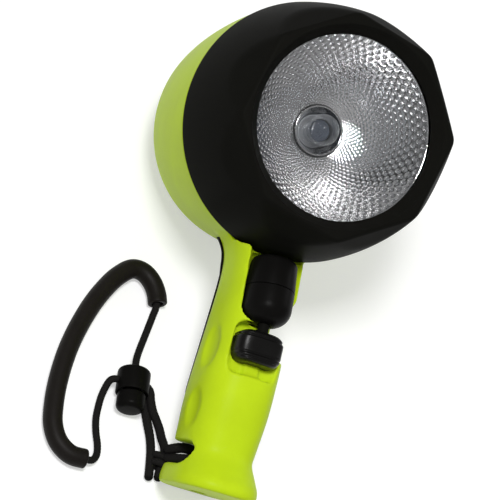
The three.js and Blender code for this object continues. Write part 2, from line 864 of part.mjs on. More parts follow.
function lanyardPin() {
  const bottom = -handleBottom + pinHeadRecess;
  const top = slotTop + pinTopSink;
  const pin = new THREE.CylinderGeometry(pinRadius, pinRadius, top - bottom, smallSides);
  return pin.translate(0, (top + bottom) / 2, pinPlaceForward);
}

// Rest pose: the plane that touches the bowl's rounded back and the rear edge of the foot
const footShares = handleStationShares[handleStationShares.length - 2];
const footRear = new THREE.Vector2(
  -handleTop - footShares[0] * handleLength, -footShares[2] * handleBackDepth);
const cornerCentre = new THREE.Vector2(-bowlCornerCentreRadius, bowlCornerRadius - bowlDepth);
const reachToFoot = cornerCentre.clone().sub(footRear);
const restTilt = Math.atan2(-reachToFoot.y, reachToFoot.x)
  + Math.asin(bowlCornerRadius / reachToFoot.length());
const restPoint = new THREE.Vector2(
  cornerCentre.x - bowlCornerRadius * Math.sin(restTilt),
  cornerCentre.y - bowlCornerRadius * Math.cos(restTilt));

// A place in the beam frame, seen from the rest point on the surface
function onSurface(x, y, z) {
  const dy = y - restPoint.x;
  const dz = z - restPoint.y;
  return new THREE.Vector3(
    x,
    dy * Math.cos(restTilt) - dz * Math.sin(restTilt),
    dy * Math.sin(restTilt) + dz * Math.cos(restTilt));
}

// Lanyard routes, chosen by hand, in hundredths of the lanyard's span on the surface
const gripRoute = [
  [-27.3, -62.2, 4.6], [-28.5, -57.2, 4.6], [-31.2, -52.3, 4.6], [-35.7, -48.7, 4.6],
  [-41.1, -48.5, 4.6], [-47.6, -54.1, 4.6], [-55.3, -66.2, 4.6], [-61.4, -80.4, 4.6],
  [-66.1, -96.1, 4.6], [-68.7, -111.9, 4.6], [-69.3, -124.7, 4.6], [-68.3, -135.1, 4.6],
  [-64.5, -142.6, 4.6], [-58.4, -146.5, 4.6], [-51.2, -146.5, 4.6],
];
const upperRoute = [
  [-27.7, -63.4, 4.3], [-28.3, -67.4, 3.4], [-30.2, -76.7, 2.6], [-32.6, -86.2, 3.5],
  [-34.6, -92.8, 6.6], [-35, -96.3, 7.5],
];
const lowerRoute = [
  [-49.8, -146.4, 4.3], [-47.3, -145, 3], [-45.6, -141.7, 2.2], [-45.7, -137, 1.9],
  [-47.2, -131, 1.9], [-48, -125.1, 1.9], [-47.8, -119.1, 2.1], [-47.2, -112.6, 3.6],
  [-45.6, -107, 6.8], [-43.6, -105.9, 7.4],
];
const rightLegRoute = [
  [-26.7, -99.8, 7.5], [-24.1, -100.7, 7], [-20.5, -106.7, 4.4], [-18.5, -113.8, 2.4],
  [-16.3, -119.8, 2.2], [-15.5, -124, 2.9], [-15.7, -127.4, 4.1],
];
const leftLegRoute = [
  [-26.2, -104.6, 7.5], [-25.2, -105.6, 7.1], [-24.3, -111, 4], [-23.1, -117.5, 2.1],
  [-22, -123.3, 2.6], [-21.1, -127.7, 4.1],
];
const knotPlace = [-18.3, -133.6, 5];
const tailEnds = [[-20.5, -147.1, 1.9], [-15.8, -146, 1.9]];
const hitchStart = [-12.7, -131.5, 7.4];
const hitchEnd = [-12.4, -134.9, 6.8];
const lockPlace = [-35.1, -97.1, 7.5];

// The lanyard lies where the slot in the foot is
const slotOnSurface = onSurface(0, -slotPlaceDown, pinPlaceForward);

function laid(point) {
  const place = new THREE.Vector3(...point).multiplyScalar(lanyardSpan * lanyardUnitShare);
  place.y += slotOnSurface.y + lanyardSlotReach;
  return place;
}

function routeCurve(points) {
  return new THREE.CatmullRomCurve3(points.map(laid));
}

function cordTube(route, steps) {
  return tube(routeCurve(route), cordRadius, cordSides, steps);
}

// The bight runs from the knot round the pin and back, its two strands one above the other
function hitchCord() {
  const around = pinRadius + cordRadius + 2 * seatGap;
  const upper = -slotPlaceDown + hitchRaise + hitchLevelOffset;
  const lower = -slotPlaceDown + hitchRaise - hitchLevelOffset;
  const points = [laid(hitchStart)];
  points.push(onSurface(-hitchEntryReach, upper, pinPlaceForward - around * hitchEntryShare));
  const steps = 8;
  for (let i = 0; i <= steps; i += 1) {
    const share = i / steps;
    const angle = hitchTurnStart + hitchTurn * share;
    const level = upper + (lower - upper) * share;
    points.push(onSurface(
      around * Math.cos(angle), level, pinPlaceForward + around * Math.sin(angle)));
  }
  points.push(onSurface(-hitchExitReach, lower, pinPlaceForward + around * hitchExitShare));
  points.push(laid(hitchEnd));
  const curve = new THREE.CatmullRomCurve3(points);
  return tube(curve, cordRadius, cordSides, 22);
}

function cordKnot() {
  const lump = new THREE.SphereGeometry(1, 14, 8);
  lump.scale(knotHalfWidth, knotHalfLength, knotHalfHeight);
  const middle = laid(knotPlace);
  lump.translate(middle.x, middle.y, middle.z);
  let body = solid(lump);
  for (const end of tailEnds) {
    const tip = laid(end);
    const start = middle.clone().lerp(tip, tailStartShare);
    const tail = tube(new THREE.LineCurve3(start, tip), cordRadius, cordSides, 1);
    body = body.add(solid(tail));
  }
  return geometryOf(body);
}

// Cord lock: a body and a sprung button in line along y, lying on the surface
function lockBody() {
  const back = -lockLength;
  const skirt = back - lockSkirtLength;
  const skirtRadius = buttonRadius + runningGap;
  const rounding = lockEndRounding;
  const profile = [
    [0, 0],
    ...arc(lockRadius - rounding, -rounding, rounding, Math.PI / 2, 0, 3),
    [lockRadius, skirt],
    [skirtRadius, skirt],
    [skirtRadius, back],
    [lockBoreRadius, back],
    [lockBoreRadius, back + lockBoreDepth],
    [0, back + lockBoreDepth],
  ];
  return revolve(profile, smallSides).rotateX(-Math.PI / 2);
}

function lockButton() {
  const top = -lockLength - buttonGap;
  const bottom = top - buttonLength;
  const rounding = buttonRounding;
  const profile = [
    [0, top + buttonStemLength],
    [buttonStemRadius, top + buttonStemLength],
    [buttonStemRadius, top],
    [buttonRadius - buttonEdge, top],
    [buttonRadius, top - buttonEdge],
    ...arc(buttonRadius - rounding, bottom + rounding, rounding, 0, -Math.PI / 2, 3),
    [0, bottom],
  ];
  return revolve(profile, smallSides).rotateX(-Math.PI / 2);
}

function lockSpring() {
  const top = -lockLength + lockBoreDepth - seatGap - springWireRadius;
  const points = [];
  const steps = springTurnCount * springStepCount;
  for (let i = 0; i <= steps; i += 1) {
    const angle = (2 * Math.PI * springTurnCount * i) / steps;
    points.push(new THREE.Vector3(
      springRadius * Math.cos(angle), top - (springLength * i) / steps, springRadius * Math.sin(angle)));
  }
  return tube(new THREE.CatmullRomCurve3(points), springWireRadius, springSides, steps);
}

// Materials
function finish(colour, roughness, metalness = 0) {
  return new THREE.MeshStandardMaterial({ color: colour, roughness, metalness });
}

const limePlastic = () => finish(0xbcd82c, 0.42);
const blackPlastic = () => finish(0x171714, 0.5);
const blackRubber = () => finish(0x1b1a18, 0.75);
const clearPlastic = () => finish(0xe8eef0, 0.06);
const mirrorCoat = () => finish(0xd9dadc, 0.12, 1);
const brightSteel = () => finish(0xc4c6c8, 0.3, 1);
const brass = () => finish(0xc9a45a, 0.35, 1);
const boardGreen = () => finish(0x2f5c3a, 0.6);
const cellWrap = () => finish(0x6b6e70, 0.4, 0.4);
const blackCord = () => finish(0x141412, 0.9);

function piece(name, geometry, material) {
  const mesh = new THREE.Mesh(geometry, material);
  mesh.name = name;
  return mesh;
}

// The light in its beam frame
const light = new THREE.Group();
light.add(piece('housing', housing(), limePlastic()));
light.add(piece('spine_strip', spineStrip(), blackRubber()));
light.add(piece('bezel', bezel(), blackPlastic()));
light.add(piece('retaining_ring', retainingRing(), blackPlastic()));
light.add(piece('lens', lens(), clearPlastic()));
light.add(piece('lens_seal', lensSeal(), blackRubber()));
light.add(piece('body_seal', bodySeal(), blackRubber()));
light.add(piece('reflector', reflector(), mirrorCoat()));
light.add(piece('led_collar', ledCollar(), clearPlastic()));
light.add(piece('led_dome', ledDome(), clearPlastic()));
light.add(piece('led_board', ledBoard(), brightSteel()));
light.add(piece('heat_sink', heatSink(), brightSteel()));
light.add(piece('contact_post', contactPost(), brass()));
light.add(piece('contact_board', contactBoard(), boardGreen()));
light.add(piece('battery_carrier', batteryCarrier(), blackPlastic()));
for (let i = 0; i < cellCount; i += 1) {
  light.add(piece(`battery_cell_${i + 1}`, batteryCell(i), cellWrap()));
}
for (let i = 0; i < cellCount / 2; i += 1) {
  light.add(piece(`bridge_contact_${i + 1}`, bridgeContact(i), brass()));
}
light.add(piece('reed_switch', reedSwitch(), blackPlastic()));
light.add(piece('switch_sleeve', switchSleeve(), blackRubber()));
light.add(piece('switch_boot', switchBoot(), blackRubber()));
light.add(piece('switch_rod', switchRod(), blackPlastic()));
light.add(piece('switch_magnet', switchMagnet(), brightSteel()));
light.add(piece('switch_slide', switchSlide(), blackPlastic()));
light.add(piece('lanyard_pin', lanyardPin(), brightSteel()));
light.rotation.x = restTilt;
const restOffset = new THREE.Vector3(0, restPoint.x, restPoint.y).applyEuler(light.rotation);
light.position.copy(restOffset).negate();

// The lanyard on the surface
const lanyard = new THREE.Group();
lanyard.add(piece('cord_hitch', hitchCord(), blackCord()));
lanyard.add(piece('cord_knot', cordKnot(), blackCord()));
lanyard.add(piece('cord_leg_right', cordTube(rightLegRoute, 7), blackCord()));
lanyard.add(piece('cord_leg_left', cordTube(leftLegRoute, 6), blackCord()));
lanyard.add(piece('cord_upper', cordTube(upperRoute, 7), blackCord()));
lanyard.add(piece('cord_lower', cordTube(lowerRoute, 10), blackCord()));
lanyard.add(piece('grip_tube', tube(routeCurve(gripRoute), gripRadius, gripSides, 20), blackRubber()));
const lock = new THREE.Group();
lock.add(piece('lock_body', lockBody(), blackPlastic()));
lock.add(piece('lock_button', lockButton(), blackPlastic()));
lock.add(piece('lock_spring', lockSpring(), brightSteel()));
lock.position.copy(laid(lockPlace));
lanyard.add(lock);

// Both stand with the light's own box over the middle of the surface
const assembly = new THREE.Group();
assembly.add(light, lanyard);
light.updateMatrixWorld(true);
const lightBox = new THREE.Box3().setFromObject(light, true);
const middle = lightBox.getCenter(new THREE.Vector3());
assembly.position.set(0, -middle.y, -lightBox.min.z);

export default assembly;
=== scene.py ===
"""Pistol-grip hand spotlight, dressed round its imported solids.

Sizes are in millimetres in two frames. The beam frame has z along the beam and y from the
handle to the head, with its origin at the middle of the bezel's rear edge. The surface frame
has z up from what the light and its lanyard lie on, and REST_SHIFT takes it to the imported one.
"""

import json
import math

import bmesh
import bpy
from bpy.props import FloatProperty, FloatVectorProperty, IntProperty, PointerProperty
from bpy.types import Operator, Panel, PropertyGroup
from mathutils import Matrix, Vector
from mathutils.kdtree import KDTree

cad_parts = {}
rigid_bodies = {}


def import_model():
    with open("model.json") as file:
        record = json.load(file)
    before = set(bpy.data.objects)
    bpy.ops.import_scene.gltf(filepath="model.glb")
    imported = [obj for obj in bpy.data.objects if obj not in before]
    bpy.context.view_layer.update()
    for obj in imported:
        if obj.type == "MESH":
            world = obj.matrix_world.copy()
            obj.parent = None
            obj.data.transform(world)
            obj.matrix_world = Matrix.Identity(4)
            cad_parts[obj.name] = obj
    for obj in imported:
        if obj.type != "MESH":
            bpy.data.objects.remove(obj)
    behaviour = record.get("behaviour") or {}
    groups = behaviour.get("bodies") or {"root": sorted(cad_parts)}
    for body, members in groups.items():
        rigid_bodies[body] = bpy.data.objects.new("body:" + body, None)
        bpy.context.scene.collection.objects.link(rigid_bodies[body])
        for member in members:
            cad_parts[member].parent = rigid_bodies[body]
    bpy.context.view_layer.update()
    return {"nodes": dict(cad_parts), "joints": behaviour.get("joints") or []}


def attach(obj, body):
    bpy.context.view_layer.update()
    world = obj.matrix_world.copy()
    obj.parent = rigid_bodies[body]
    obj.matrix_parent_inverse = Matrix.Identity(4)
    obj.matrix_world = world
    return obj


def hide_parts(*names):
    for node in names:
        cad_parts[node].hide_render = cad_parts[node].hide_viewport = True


bl_info = {
    "name": "Hand spotlight",
    "version": (1, 0, 0),
    "blender": (4, 5, 0),
    "location": "3D View > Sidebar > Spotlight",
    "description": "Builds the visible pieces and finishes of a pistol-grip hand spotlight",
    "category": "Add Mesh",
}

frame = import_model()

MM = 0.001
WELD = 0.0005
FULL_TURN = 2 * math.pi


# Frames

def frame_from(axis, origin):
    """Millimetres in a frame with z along axis and x across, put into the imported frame."""
    up = Vector(axis).normalized()
    across = Vector((1, 0, 0))
    turn = Matrix((across, up.cross(across), up)).transposed().to_4x4()
    return Matrix.Translation(origin) @ turn @ Matrix.Scale(MM, 4)


JOINTS = {joint["name"]: joint for joint in frame["joints"]}
BEAM = frame_from(JOINTS["bezel_turn"]["axis"], JOINTS["bezel_turn"]["pos_m"])
REST_SHIFT = (0, 48.8007, 0.1324)
SURFACE = Matrix.Scale(MM, 4) @ Matrix.Translation(REST_SHIFT)

SEAT_GAP = 0.3
OVERRUN = 2

# Head
BEZEL_REAR_RADIUS = 57.4
BEZEL_LENGTH = 52
BEZEL_NOSE_RADIUS = 49.4
BEZEL_TAPER_SHARE = 0.38
OCTAGON_APOTHEM = 45.7
OCTAGON_SLOPE = 0.45
OCTAGON_SIDES = 8
OCTAGON_TURN = math.radians(10.3)
OCTAGON_SOFTNESS = 0.9
CORNER_DIP = 0.35
CORNER_DIP_REACH = 0.035
BEZEL_REAR_EDGE = 0.8
BEZEL_FRONT_EDGE = 1.2
SKIRT_RADIUS = 53.0
SKIRT_LENGTH = 24
POCKET_RADIUS = 45.0
OPENING_RADIUS = 40.3
MOUTH_RADIUS = 44.4
LENS_FRONT = 46
LENS_BACK = 42
LENS_RADIUS = 44.6
DISH_RIM_RADIUS = 41
DISH_RIM_HEIGHT = 41.7
DISH_NECK_RADIUS = 11.5
DISH_NECK_HEIGHT = 15.2
BOARD_FRONT = 9.2
BOWL_SHOULDER_RADIUS = 56.9
BOWL_FLANK = (55.5, -33.4)
BOWL_DEPTH = 82.5
BOWL_CORNER_RADIUS = 32
BOWL_CORNER_CENTRE = 19
BOWL_CORNER_START = math.radians(12)
BOWL_WALL = 2.7
RIM_OUTER_RADIUS = 52.6
RIM_INNER_RADIUS = 49.6
RIM_LENGTH = 18
RIM_ROOT = 2
SEAL_GROOVE_LOW = 7.75
SEAL_GROOVE_HIGH = 10.25
SEAL_GROOVE_DEPTH = 2
LENS_STEP = 2.6
LENS_SUNK = 0.3
COLLAR_RADIUS = 11.1
COLLAR_BORE = 7.6
COLLAR_TOP = 16.6
DOME_RADIUS = 7.1
DOME_CENTRE = 21.5
CHIP_RADIUS = 4.9
CHIP_TOP = 18.4
LED_BASE_RADIUS = 7.2
LED_BASE_THICKNESS = 0.3
FLANGE_THICKNESS = 2.2
DISH_WALL = 1

# Handle: [down, width, back, front] as shares of its length and its three depths
HANDLE_STATIONS = (
    (0, 1.74, 1.56, 1.1), (0.05, 1.4, 1.34, 1.05), (0.1, 1.1, 1.11, 1.01),
    (0.15, 0.975, 0.98, 0.99), (0.235, 0.935, 0.92, 0.967), (0.34, 0.94, 0.93, 0.967),
    (0.465, 0.965, 0.957, 0.99), (0.67, 1, 1, 1), (0.8, 0.955, 0.983, 0.945),
    (0.862, 0.942, 0.974, 0.956), (0.912, 1.035, 0.983, 1.21), (0.954, 1.11, 0.991, 1.48),
    (0.982, 1.122, 0.991, 1.54), (1, 1.08, 0.955, 1.49),
)
HANDLE_TOP = 44
HANDLE_BOTTOM = 164.5
HANDLE_HALF_WIDTH = 17.2
HANDLE_BACK = 23
HANDLE_FRONT = 18.2
HANDLE_BACK_SQUARENESS = 3.2
HANDLE_FRONT_SQUARENESS = 2.6
SLOT_PLACE = -150.3
SLOT_HEIGHT = 10.6
SLOT_FORWARD = 10
SLOT_BEHIND = -28
SLOT_SPAN = 60
PIN_RADIUS = 3.7
PIN_FORWARD = -9
PIN_BOTTOM = -163.9
PIN_TOP = -139
PIN_BORE_BOTTOM = -166
STRIP_WIDTH = 29
STRIP_FLARE_WIDTH = 40
STRIP_FLARE_END = -69.4
STRIP_TOP_RADIUS = 57.4
STRIP_BOTTOM = -129
STRIP_SIDE_DEPTH = 15.5
STRIP_END_RADIUS = 8
STRIP_PROUD = 1.1
STRIP_SUNK = 0.8
CHEEK_OUTLINE = (
    (32.8, -45.1, 0), (15.1, -49.6, 0), (15.6, -55.2, 0), (17.1, -72.8, 1.5),
    (13.75, -81.2, 2), (7.7, -86.6, 3), (8.6, -93, 4), (12.6, -97.6, 3), (18, -100.8, 1.5),
    (40, -94, 0),
)
CHEEK_BACK = -15
CHEEK_REACH = 55
CHEEK_SLANT = (-0.355, -0.123)
SCOOPS = ((-102, 17.7), (-131, 18.5))
SCOOP_RADII = (3.4, 11, 8.6)
SCOOP_FORWARD = 3

# Switch
BARREL_TILT = math.radians(15)
BARREL_PLACE = (0, -79, 12.5)
BARREL_RADIUS = 11
BARREL_TOP_RADIUS = 10.2
BARREL_TOP = 18.4
POCKET_HEADROOM = 4
BARREL_SEAM = 5.9
BARREL_CROWN = 20.2
BARREL_END = -9.8
BARREL_ROUNDING = 7
BOOT_ROUNDING = 8
ROD_RADIUS = 2.5
ROD_TOP = 9.9
BARREL_BORE = 4.1
BARREL_CAP = 1.1
RECESS_FLOOR = 6.7
RECESS_HALF_WIDTH = 11.2
RECESS_CORNER = 4
RECESS_HEIGHT = 18
RECESS_END = -112.5
WALL_FLARE = 0.39
RECESS_FLARE = 0.14
RAIL_WIDTH = 7
RAIL_HEIGHT = 1.7
SLIDE_TOP = -92.6
SLIDE_LENGTH = 14.4
SLIDE_WIDTH = 21.8
SLIDE_FACE = 22.5
SLIDE_BASE = 4.5
SLIDE_TRAVEL_DOWN = 3
SLIDE_LEAN = math.radians(8)
SLIDE_SQUARENESS = 3.6
SLIDE_SIDE_ROUNDING = 4.6
SLIDE_END_ROUNDING = 2.6
SLIDE_DISH_DEPTH = 0.7
SLIDE_DISH_REACH = 5.5
SLIDE_GROOVES = ((4.6, 0.6), (-3.2, 0.5), (-5.2, 0.5))
GROOVE_REACH = 0.9
ROD_SUNK = 5
BARREL = BEAM @ Matrix.Translation(BARREL_PLACE) @ Matrix.Rotation(
    -math.pi / 2 - BARREL_TILT, 4, "X")
SLIDE_FLOOR = (
    Matrix.Translation(BARREL_PLACE) @ Matrix.Rotation(-BARREL_TILT, 4, "X")
    @ Matrix.Translation((0, 0, -RECESS_FLOOR)))

# Lanyard
GRIP_RADIUS = 4.4
GRIP_BORE = 2.5
GRIP_BORE_DEPTH = 9
GRIP_LIP = 0.8
GRIP_ROUTE = (
    (-27.3, -62.2, 4.6), (-28.5, -57.2, 4.6), (-31.2, -52.3, 4.6), (-35.7, -48.7, 4.6),
    (-41.1, -48.5, 4.6), (-47.6, -54.1, 4.6), (-55.3, -66.2, 4.6), (-61.4, -80.4, 4.6),
    (-66.1, -96.1, 4.6), (-68.7, -111.9, 4.6), (-69.3, -124.7, 4.6), (-68.3, -135.1, 4.6),
    (-64.5, -142.6, 4.6), (-58.4, -146.5, 4.6), (-51.2, -146.5, 4.6),
)
UPPER_ROUTE = (
    (-27.7, -63.4, 4.3), (-28.3, -67.4, 3.4), (-30.2, -76.7, 2.6), (-32.6, -86.2, 3.5),
    (-34.6, -92.8, 6.6), (-35, -96.3, 7.5),
)
LOWER_ROUTE = (
    (-49.8, -146.4, 4.3), (-47.3, -145, 3), (-45.6, -141.7, 2.2), (-45.7, -137, 1.9),
    (-47.2, -131, 1.9), (-48, -125.1, 1.9), (-47.8, -119.1, 2.1), (-47.2, -112.6, 3.6),
    (-45.6, -107, 6.8), (-43.6, -105.9, 7.4),
)
RIGHT_LEG_ROUTE = (
    (-29.5, -104.5, 7.2), (-26.6, -106.8, 6.9), (-25.2, -110.5, 6), (-23, -114.6, 4.6),
    (-20.2, -117.6, 3), (-18.1, -120.8, 2.4), (-16.7, -125, 2.8), (-15.5, -129.2, 4.2),
)
LEFT_LEG_ROUTE = (
    (-29.5, -107.5, 5.2), (-27, -109.8, 3.8), (-25.9, -113.8, 2.5), (-24.2, -119, 2.2),
    (-21.9, -126, 2.2), (-20.9, -132, 2.5),
)
KNOT_MIDDLE = (-16.7, -137, 3.9)
KNOT_ACROSS = 2.6
KNOT_HEIGHT = 2.4
KNOT_TURNS = ((1.5, -0.4), (-1.7, -0.3))
LEFT_TAIL = ((-20.1, -146.6, 2.1), (-20.2, -142, 2.2), (-20.5, -137, 2.4))
RIGHT_TAIL = ((-15.2, -132.6, 4.9), (-15.1, -136, 4.1), (-15.5, -140, 2.8), (-15.9, -145.7, 2.1))
HITCH_START = (-15.8, -131.9, 5.6)
HITCH_END = (-15.4, -135.6, 5.2)
LOWER_LOCK_END = (-36, -106, 7)
UPPER_LOCK_END = (-34.6, -101.5, 7.5)
LEG_RADIUS = 2.05
LEG_REACH = 44
LEG_FADE = 12
HITCH_RADIUS = 2.35
STRAND_RADIUS = 1.65
HITCH_LEVEL_OFFSET = 2.25
HITCH_RAISE = 0.45
HITCH_ENTRY = -10.6
HITCH_EXIT = -8
HITCH_TURN_START = math.radians(-140)
HITCH_TURN = math.radians(250)
LOCK_PLACE = (-35.1, -97.1, 7.5)
LOCK = SURFACE @ Matrix.Translation(LOCK_PLACE) @ Matrix.Rotation(-math.pi / 2, 4, "X")
LOCK_RADIUS = 7.4
LOCK_LENGTH = 11.6
BUTTON_RADIUS = 6.4
BUTTON_LENGTH = 8
BUTTON_GAP = 2.4
LOCK_SKIRT = 2.1
LOCK_BORE = 3.9
LOCK_BORE_DEPTH = 8
STEM_RADIUS = 3.4
STEM_LENGTH = 7.6
BUTTON_PLAY = 0.4
LOCK_CROWN = -2.2

# Camera, fitted to the photograph in the beam frame
CAMERA_AXES = (
    (0.89786, 0.26609, 0.3509), (-0.28933, 0.95713, 0.0147), (-0.33196, -0.1147, 0.9363))
CAMERA_OFFSET = (24.2, 51.8, 0)
CAMERA_DISTANCE = 1855
CAMERA_LENS = 304


# Sizes and colours that a user would change

class SpotlightSizes(PropertyGroup):
    dimple_columns: IntProperty(
        name="Dimple columns", description="Dimples in one ring of the reflector",
        default=63, min=24, max=120)
    dimple_height: FloatProperty(
        name="Dimple height", description="How far a dimple stands off the dish, as a share "
        "of the room between dimples", default=0.065, min=0, max=0.5, subtype="FACTOR")
    housing_voxel: FloatProperty(
        name="Housing fineness", description="Edge length of the faces that round off the "
        "housing's moulded edges, in millimetres", default=0.85, min=0.5, max=3)
    braid_strands: IntProperty(
        name="Braid strands", description="Strands each way round the lanyard cord",
        default=8, min=3, max=16)
    braid_depth: FloatProperty(
        name="Braid depth", description="How far the strands stand out of the cord, in "
        "millimetres", default=0.22, min=0, max=0.6)


class SpotlightColours(PropertyGroup):
    housing: FloatVectorProperty(
        name="Housing", description="Colour of the housing's plastic",
        subtype="COLOR", size=3, min=0, max=1, default=(0.52, 0.71, 0.012))
    bezel: FloatVectorProperty(
        name="Bezel", description="Colour of the bezel's plastic",
        subtype="COLOR", size=3, min=0, max=1, default=(0.006, 0.006, 0.005))
    rubber: FloatVectorProperty(
        name="Rubber", description="Colour of the strip, the boot and the seals",
        subtype="COLOR", size=3, min=0, max=1, default=(0.0045, 0.0043, 0.004))
    grip: FloatVectorProperty(
        name="Grip tube", description="Colour of the lanyard's grip tube",
        subtype="COLOR", size=3, min=0, max=1, default=(0.009, 0.0075, 0.0065))
    cord: FloatVectorProperty(
        name="Cord", description="Colour of the lanyard's braided cord",
        subtype="COLOR", size=3, min=0, max=1, default=(0.0055, 0.005, 0.0048))


def sizes():
    return bpy.context.scene.spotlight_sizes


def colours():
    return bpy.context.scene.spotlight_colours


# Shader maths

class Value:
    """A number that varies over a surface. Sums on it add Math nodes."""

    def __init__(self, finish, socket):
        self.finish = finish
        self.socket = socket

    def math(self, operation, other, reflected=False):
        first, second = (other, self) if reflected else (self, other)
        node = self.finish.node(
            "ShaderNodeMath", {"operation": operation}, {0: first, 1: second})
        return Value(self.finish, node.outputs[0])

    def __add__(self, other):
        return self.math("ADD", other)

    __radd__ = __add__

    def __sub__(self, other):
        return self.math("SUBTRACT", other)

    def __rsub__(self, other):
        return self.math("SUBTRACT", other, reflected=True)

    def __mul__(self, other):
        return self.math("MULTIPLY", other)

    __rmul__ = __mul__

    def between(self, low, high):
        """Moves the range low to high onto 0 to 1, held at its ends."""
        node = self.finish.node(
            "ShaderNodeMapRange", {"clamp": True},
            {"Value": self, "From Min": low, "From Max": high})
        return Value(self.finish, node.outputs[0])


class Finish:
    """A procedural material: one Principled shader and the nodes that feed it."""

    def __init__(self, name, colour=(0.5, 0.5, 0.5), **constants):
        self.material = bpy.data.materials.new(name)
        self.material.use_nodes = True
        self.tree = self.material.node_tree
        self.tree.nodes.clear()
        self.output = self.node("ShaderNodeOutputMaterial")
        self.shader = self.node("ShaderNodeBsdfPrincipled")
        self.link(self.shader.outputs[0], self.output.inputs["Surface"])
        self.shader.inputs["Base Color"].default_value = (*colour, 1)
        for socket, value in constants.items():
            self.shader.inputs[socket.replace("_", " ").title()
                               .replace("Ior", "IOR")].default_value = value
        self.place = self.node("ShaderNodeTexCoord").outputs["Object"]

    def node(self, kind, settings=None, inputs=None):
        node = self.tree.nodes.new(kind)
        for name, setting in (settings or {}).items():
            setattr(node, name, setting)
        for name, value in (inputs or {}).items():
            self.feed(node.inputs[name], value)
        return node

    def feed(self, socket, value):
        if isinstance(value, Value):
            value = value.socket
        if isinstance(value, bpy.types.NodeSocket):
            self.link(value, socket)
        else:
            socket.default_value = value

    def link(self, source, target):
        self.tree.links.new(source, target)

    def noise(self, scale, detail=3.0, roughness=0.55, place=None):
        """Noise from about 0 to 1; scale is in features to a metre."""
        node = self.node("ShaderNodeTexNoise", {"noise_dimensions": "3D"}, {
            "Vector": place or self.place, "Scale": scale, "Detail": detail,
            "Roughness": roughness})
        return Value(self, node.outputs[0])

    def stretched(self, scale, turn=(0, 0, 0)):
        """The surface's place, turned and then stretched by a scale along each axis."""
        return self.node(
            "ShaderNodeMapping", {"vector_type": "TEXTURE"},
            {"Vector": self.place, "Rotation": turn,
             "Scale": tuple(1 / s for s in scale)}).outputs[0]

    def attribute(self, name):
        node = self.node("ShaderNodeAttribute", {"attribute_name": name})
        return Value(self, node.outputs["Fac"])

    def blend(self, factor, first, second):
        """A colour between two colours."""
        node = self.node("ShaderNodeMix", {"data_type": "RGBA"})
        self.feed(node.inputs[0], factor)
        for index, colour in ((6, first), (7, second)):
            linked = isinstance(colour, bpy.types.NodeSocket)
            self.feed(node.inputs[index], colour if linked else (*colour, 1))
        return node.outputs[2]

    def colour(self, socket):
        self.feed(self.shader.inputs["Base Color"], socket)

    def vary(self, name, value):
        self.feed(self.shader.inputs[name], value)

    def bump(self, *layers):
        """Height layers of (value, depth in metres), joined into one normal."""
        normal = None
        for value, depth in layers:
            node = self.node("ShaderNodeBump", {}, {"Height": value, "Distance": depth})
            if normal is not None:
                self.link(normal, node.inputs["Normal"])
            normal = node.outputs[0]
        self.link(normal, self.shader.inputs["Normal"])


def tinted(colour, share):
    return tuple(min(1.0, channel * share) for channel in colour)


def lime_finish():
    base = tuple(colours().housing)
    finish = Finish("lime_plastic", base, ior=1.5, specular_ior_level=0.06)
    cloud = finish.noise(55, 3)
    speck = finish.noise(2600, 2)
    marks = finish.noise(1, 3, place=finish.stretched((240, 1900, 300), (0.3, 0.2, 0.7)))
    scuff = marks.between(0.66, 0.74)
    pale = tuple(c + (0.8 - c) * 0.08 for c in base)
    shade = finish.blend(cloud.between(0.3, 0.7), tinted(base, 0.955), tinted(base, 1.04))
    finish.colour(finish.blend(scuff * 0.35, shade, pale))
    finish.vary("Roughness", 0.34 + cloud * 0.07 + scuff * 0.12 + speck * 0.05)
    finish.bump((speck, 0.00002), (finish.noise(9000, 1), 0.000008), (scuff, -0.00001))
    return finish.material


def bezel_finish():
    base = tuple(colours().bezel)
    finish = Finish("black_plastic", base, ior=1.5, specular_ior_level=0.006)
    cloud = finish.noise(60, 3)
    grain = finish.noise(3200, 2)
    marks = finish.noise(1, 3, place=finish.stretched((2100, 260, 320), (0.2, 0.5, 0.3)))
    scuff = marks.between(0.64, 0.72)
    finish.colour(finish.blend(
        cloud * 0.5 + scuff * 0.4, base, tuple(c * 1.5 + 0.001 for c in base)))
    finish.vary("Roughness", 0.37 + cloud * 0.1 + grain * 0.06 + scuff * 0.12)
    finish.bump((grain, 0.00002), (scuff, -0.00001))
    return finish.material


def rubber_finish(name, base, roughness=0.5, shine=0.02):
    finish = Finish(name, base, ior=1.5, specular_ior_level=shine)
    cloud = finish.noise(90, 3)
    grain = finish.noise(4200, 3, 0.65)
    dust = finish.noise(700, 4, 0.7).between(0.58, 0.8)
    finish.colour(finish.blend(
        cloud * 0.35 + dust * 0.4, base, tuple(c * 1.6 + 0.001 for c in base)))
    finish.vary("Roughness", roughness - 0.05 + cloud * 0.1 + dust * 0.1)
    finish.bump((grain, 0.000025), (cloud, 0.00008))
    return finish.material


def grip_finish():
    base = tuple(colours().grip)
    finish = Finish("grip_rubber", base, ior=1.5, specular_ior_level=0.09)
    cloud = finish.noise(120, 3)
    grain = finish.noise(5200, 3, 0.7)
    dust = finish.noise(900, 4, 0.7).between(0.55, 0.8)
    finish.colour(finish.blend(
        cloud * 0.5 + dust * 0.5, base, tuple(c * 1.6 + 0.0015 for c in base)))
    finish.vary("Roughness", 0.4 + cloud * 0.12 + dust * 0.12)
    finish.bump((grain, 0.00003), (cloud, 0.0002))
    return finish.material


def cord_finish():
    base = tuple(colours().cord)
    finish = Finish("braided_cord", base, specular_ior_level=0.08)
    strand = finish.attribute("strand")
    fibre = finish.noise(5200, 3, 0.7)
    # Painted shade and light: by how far each point stands out, the joints between strands are
    # darkened and the strand tops lightened.
    finish.colour(finish.blend(
        strand * 0.75 + fibre * 0.25, tinted(base, 0.3), tuple(c * 2.2 + 0.003 for c in base)))
    finish.vary("Roughness", 0.62 + fibre * 0.25)
    finish.bump((fibre, 0.00005))
    return finish.material


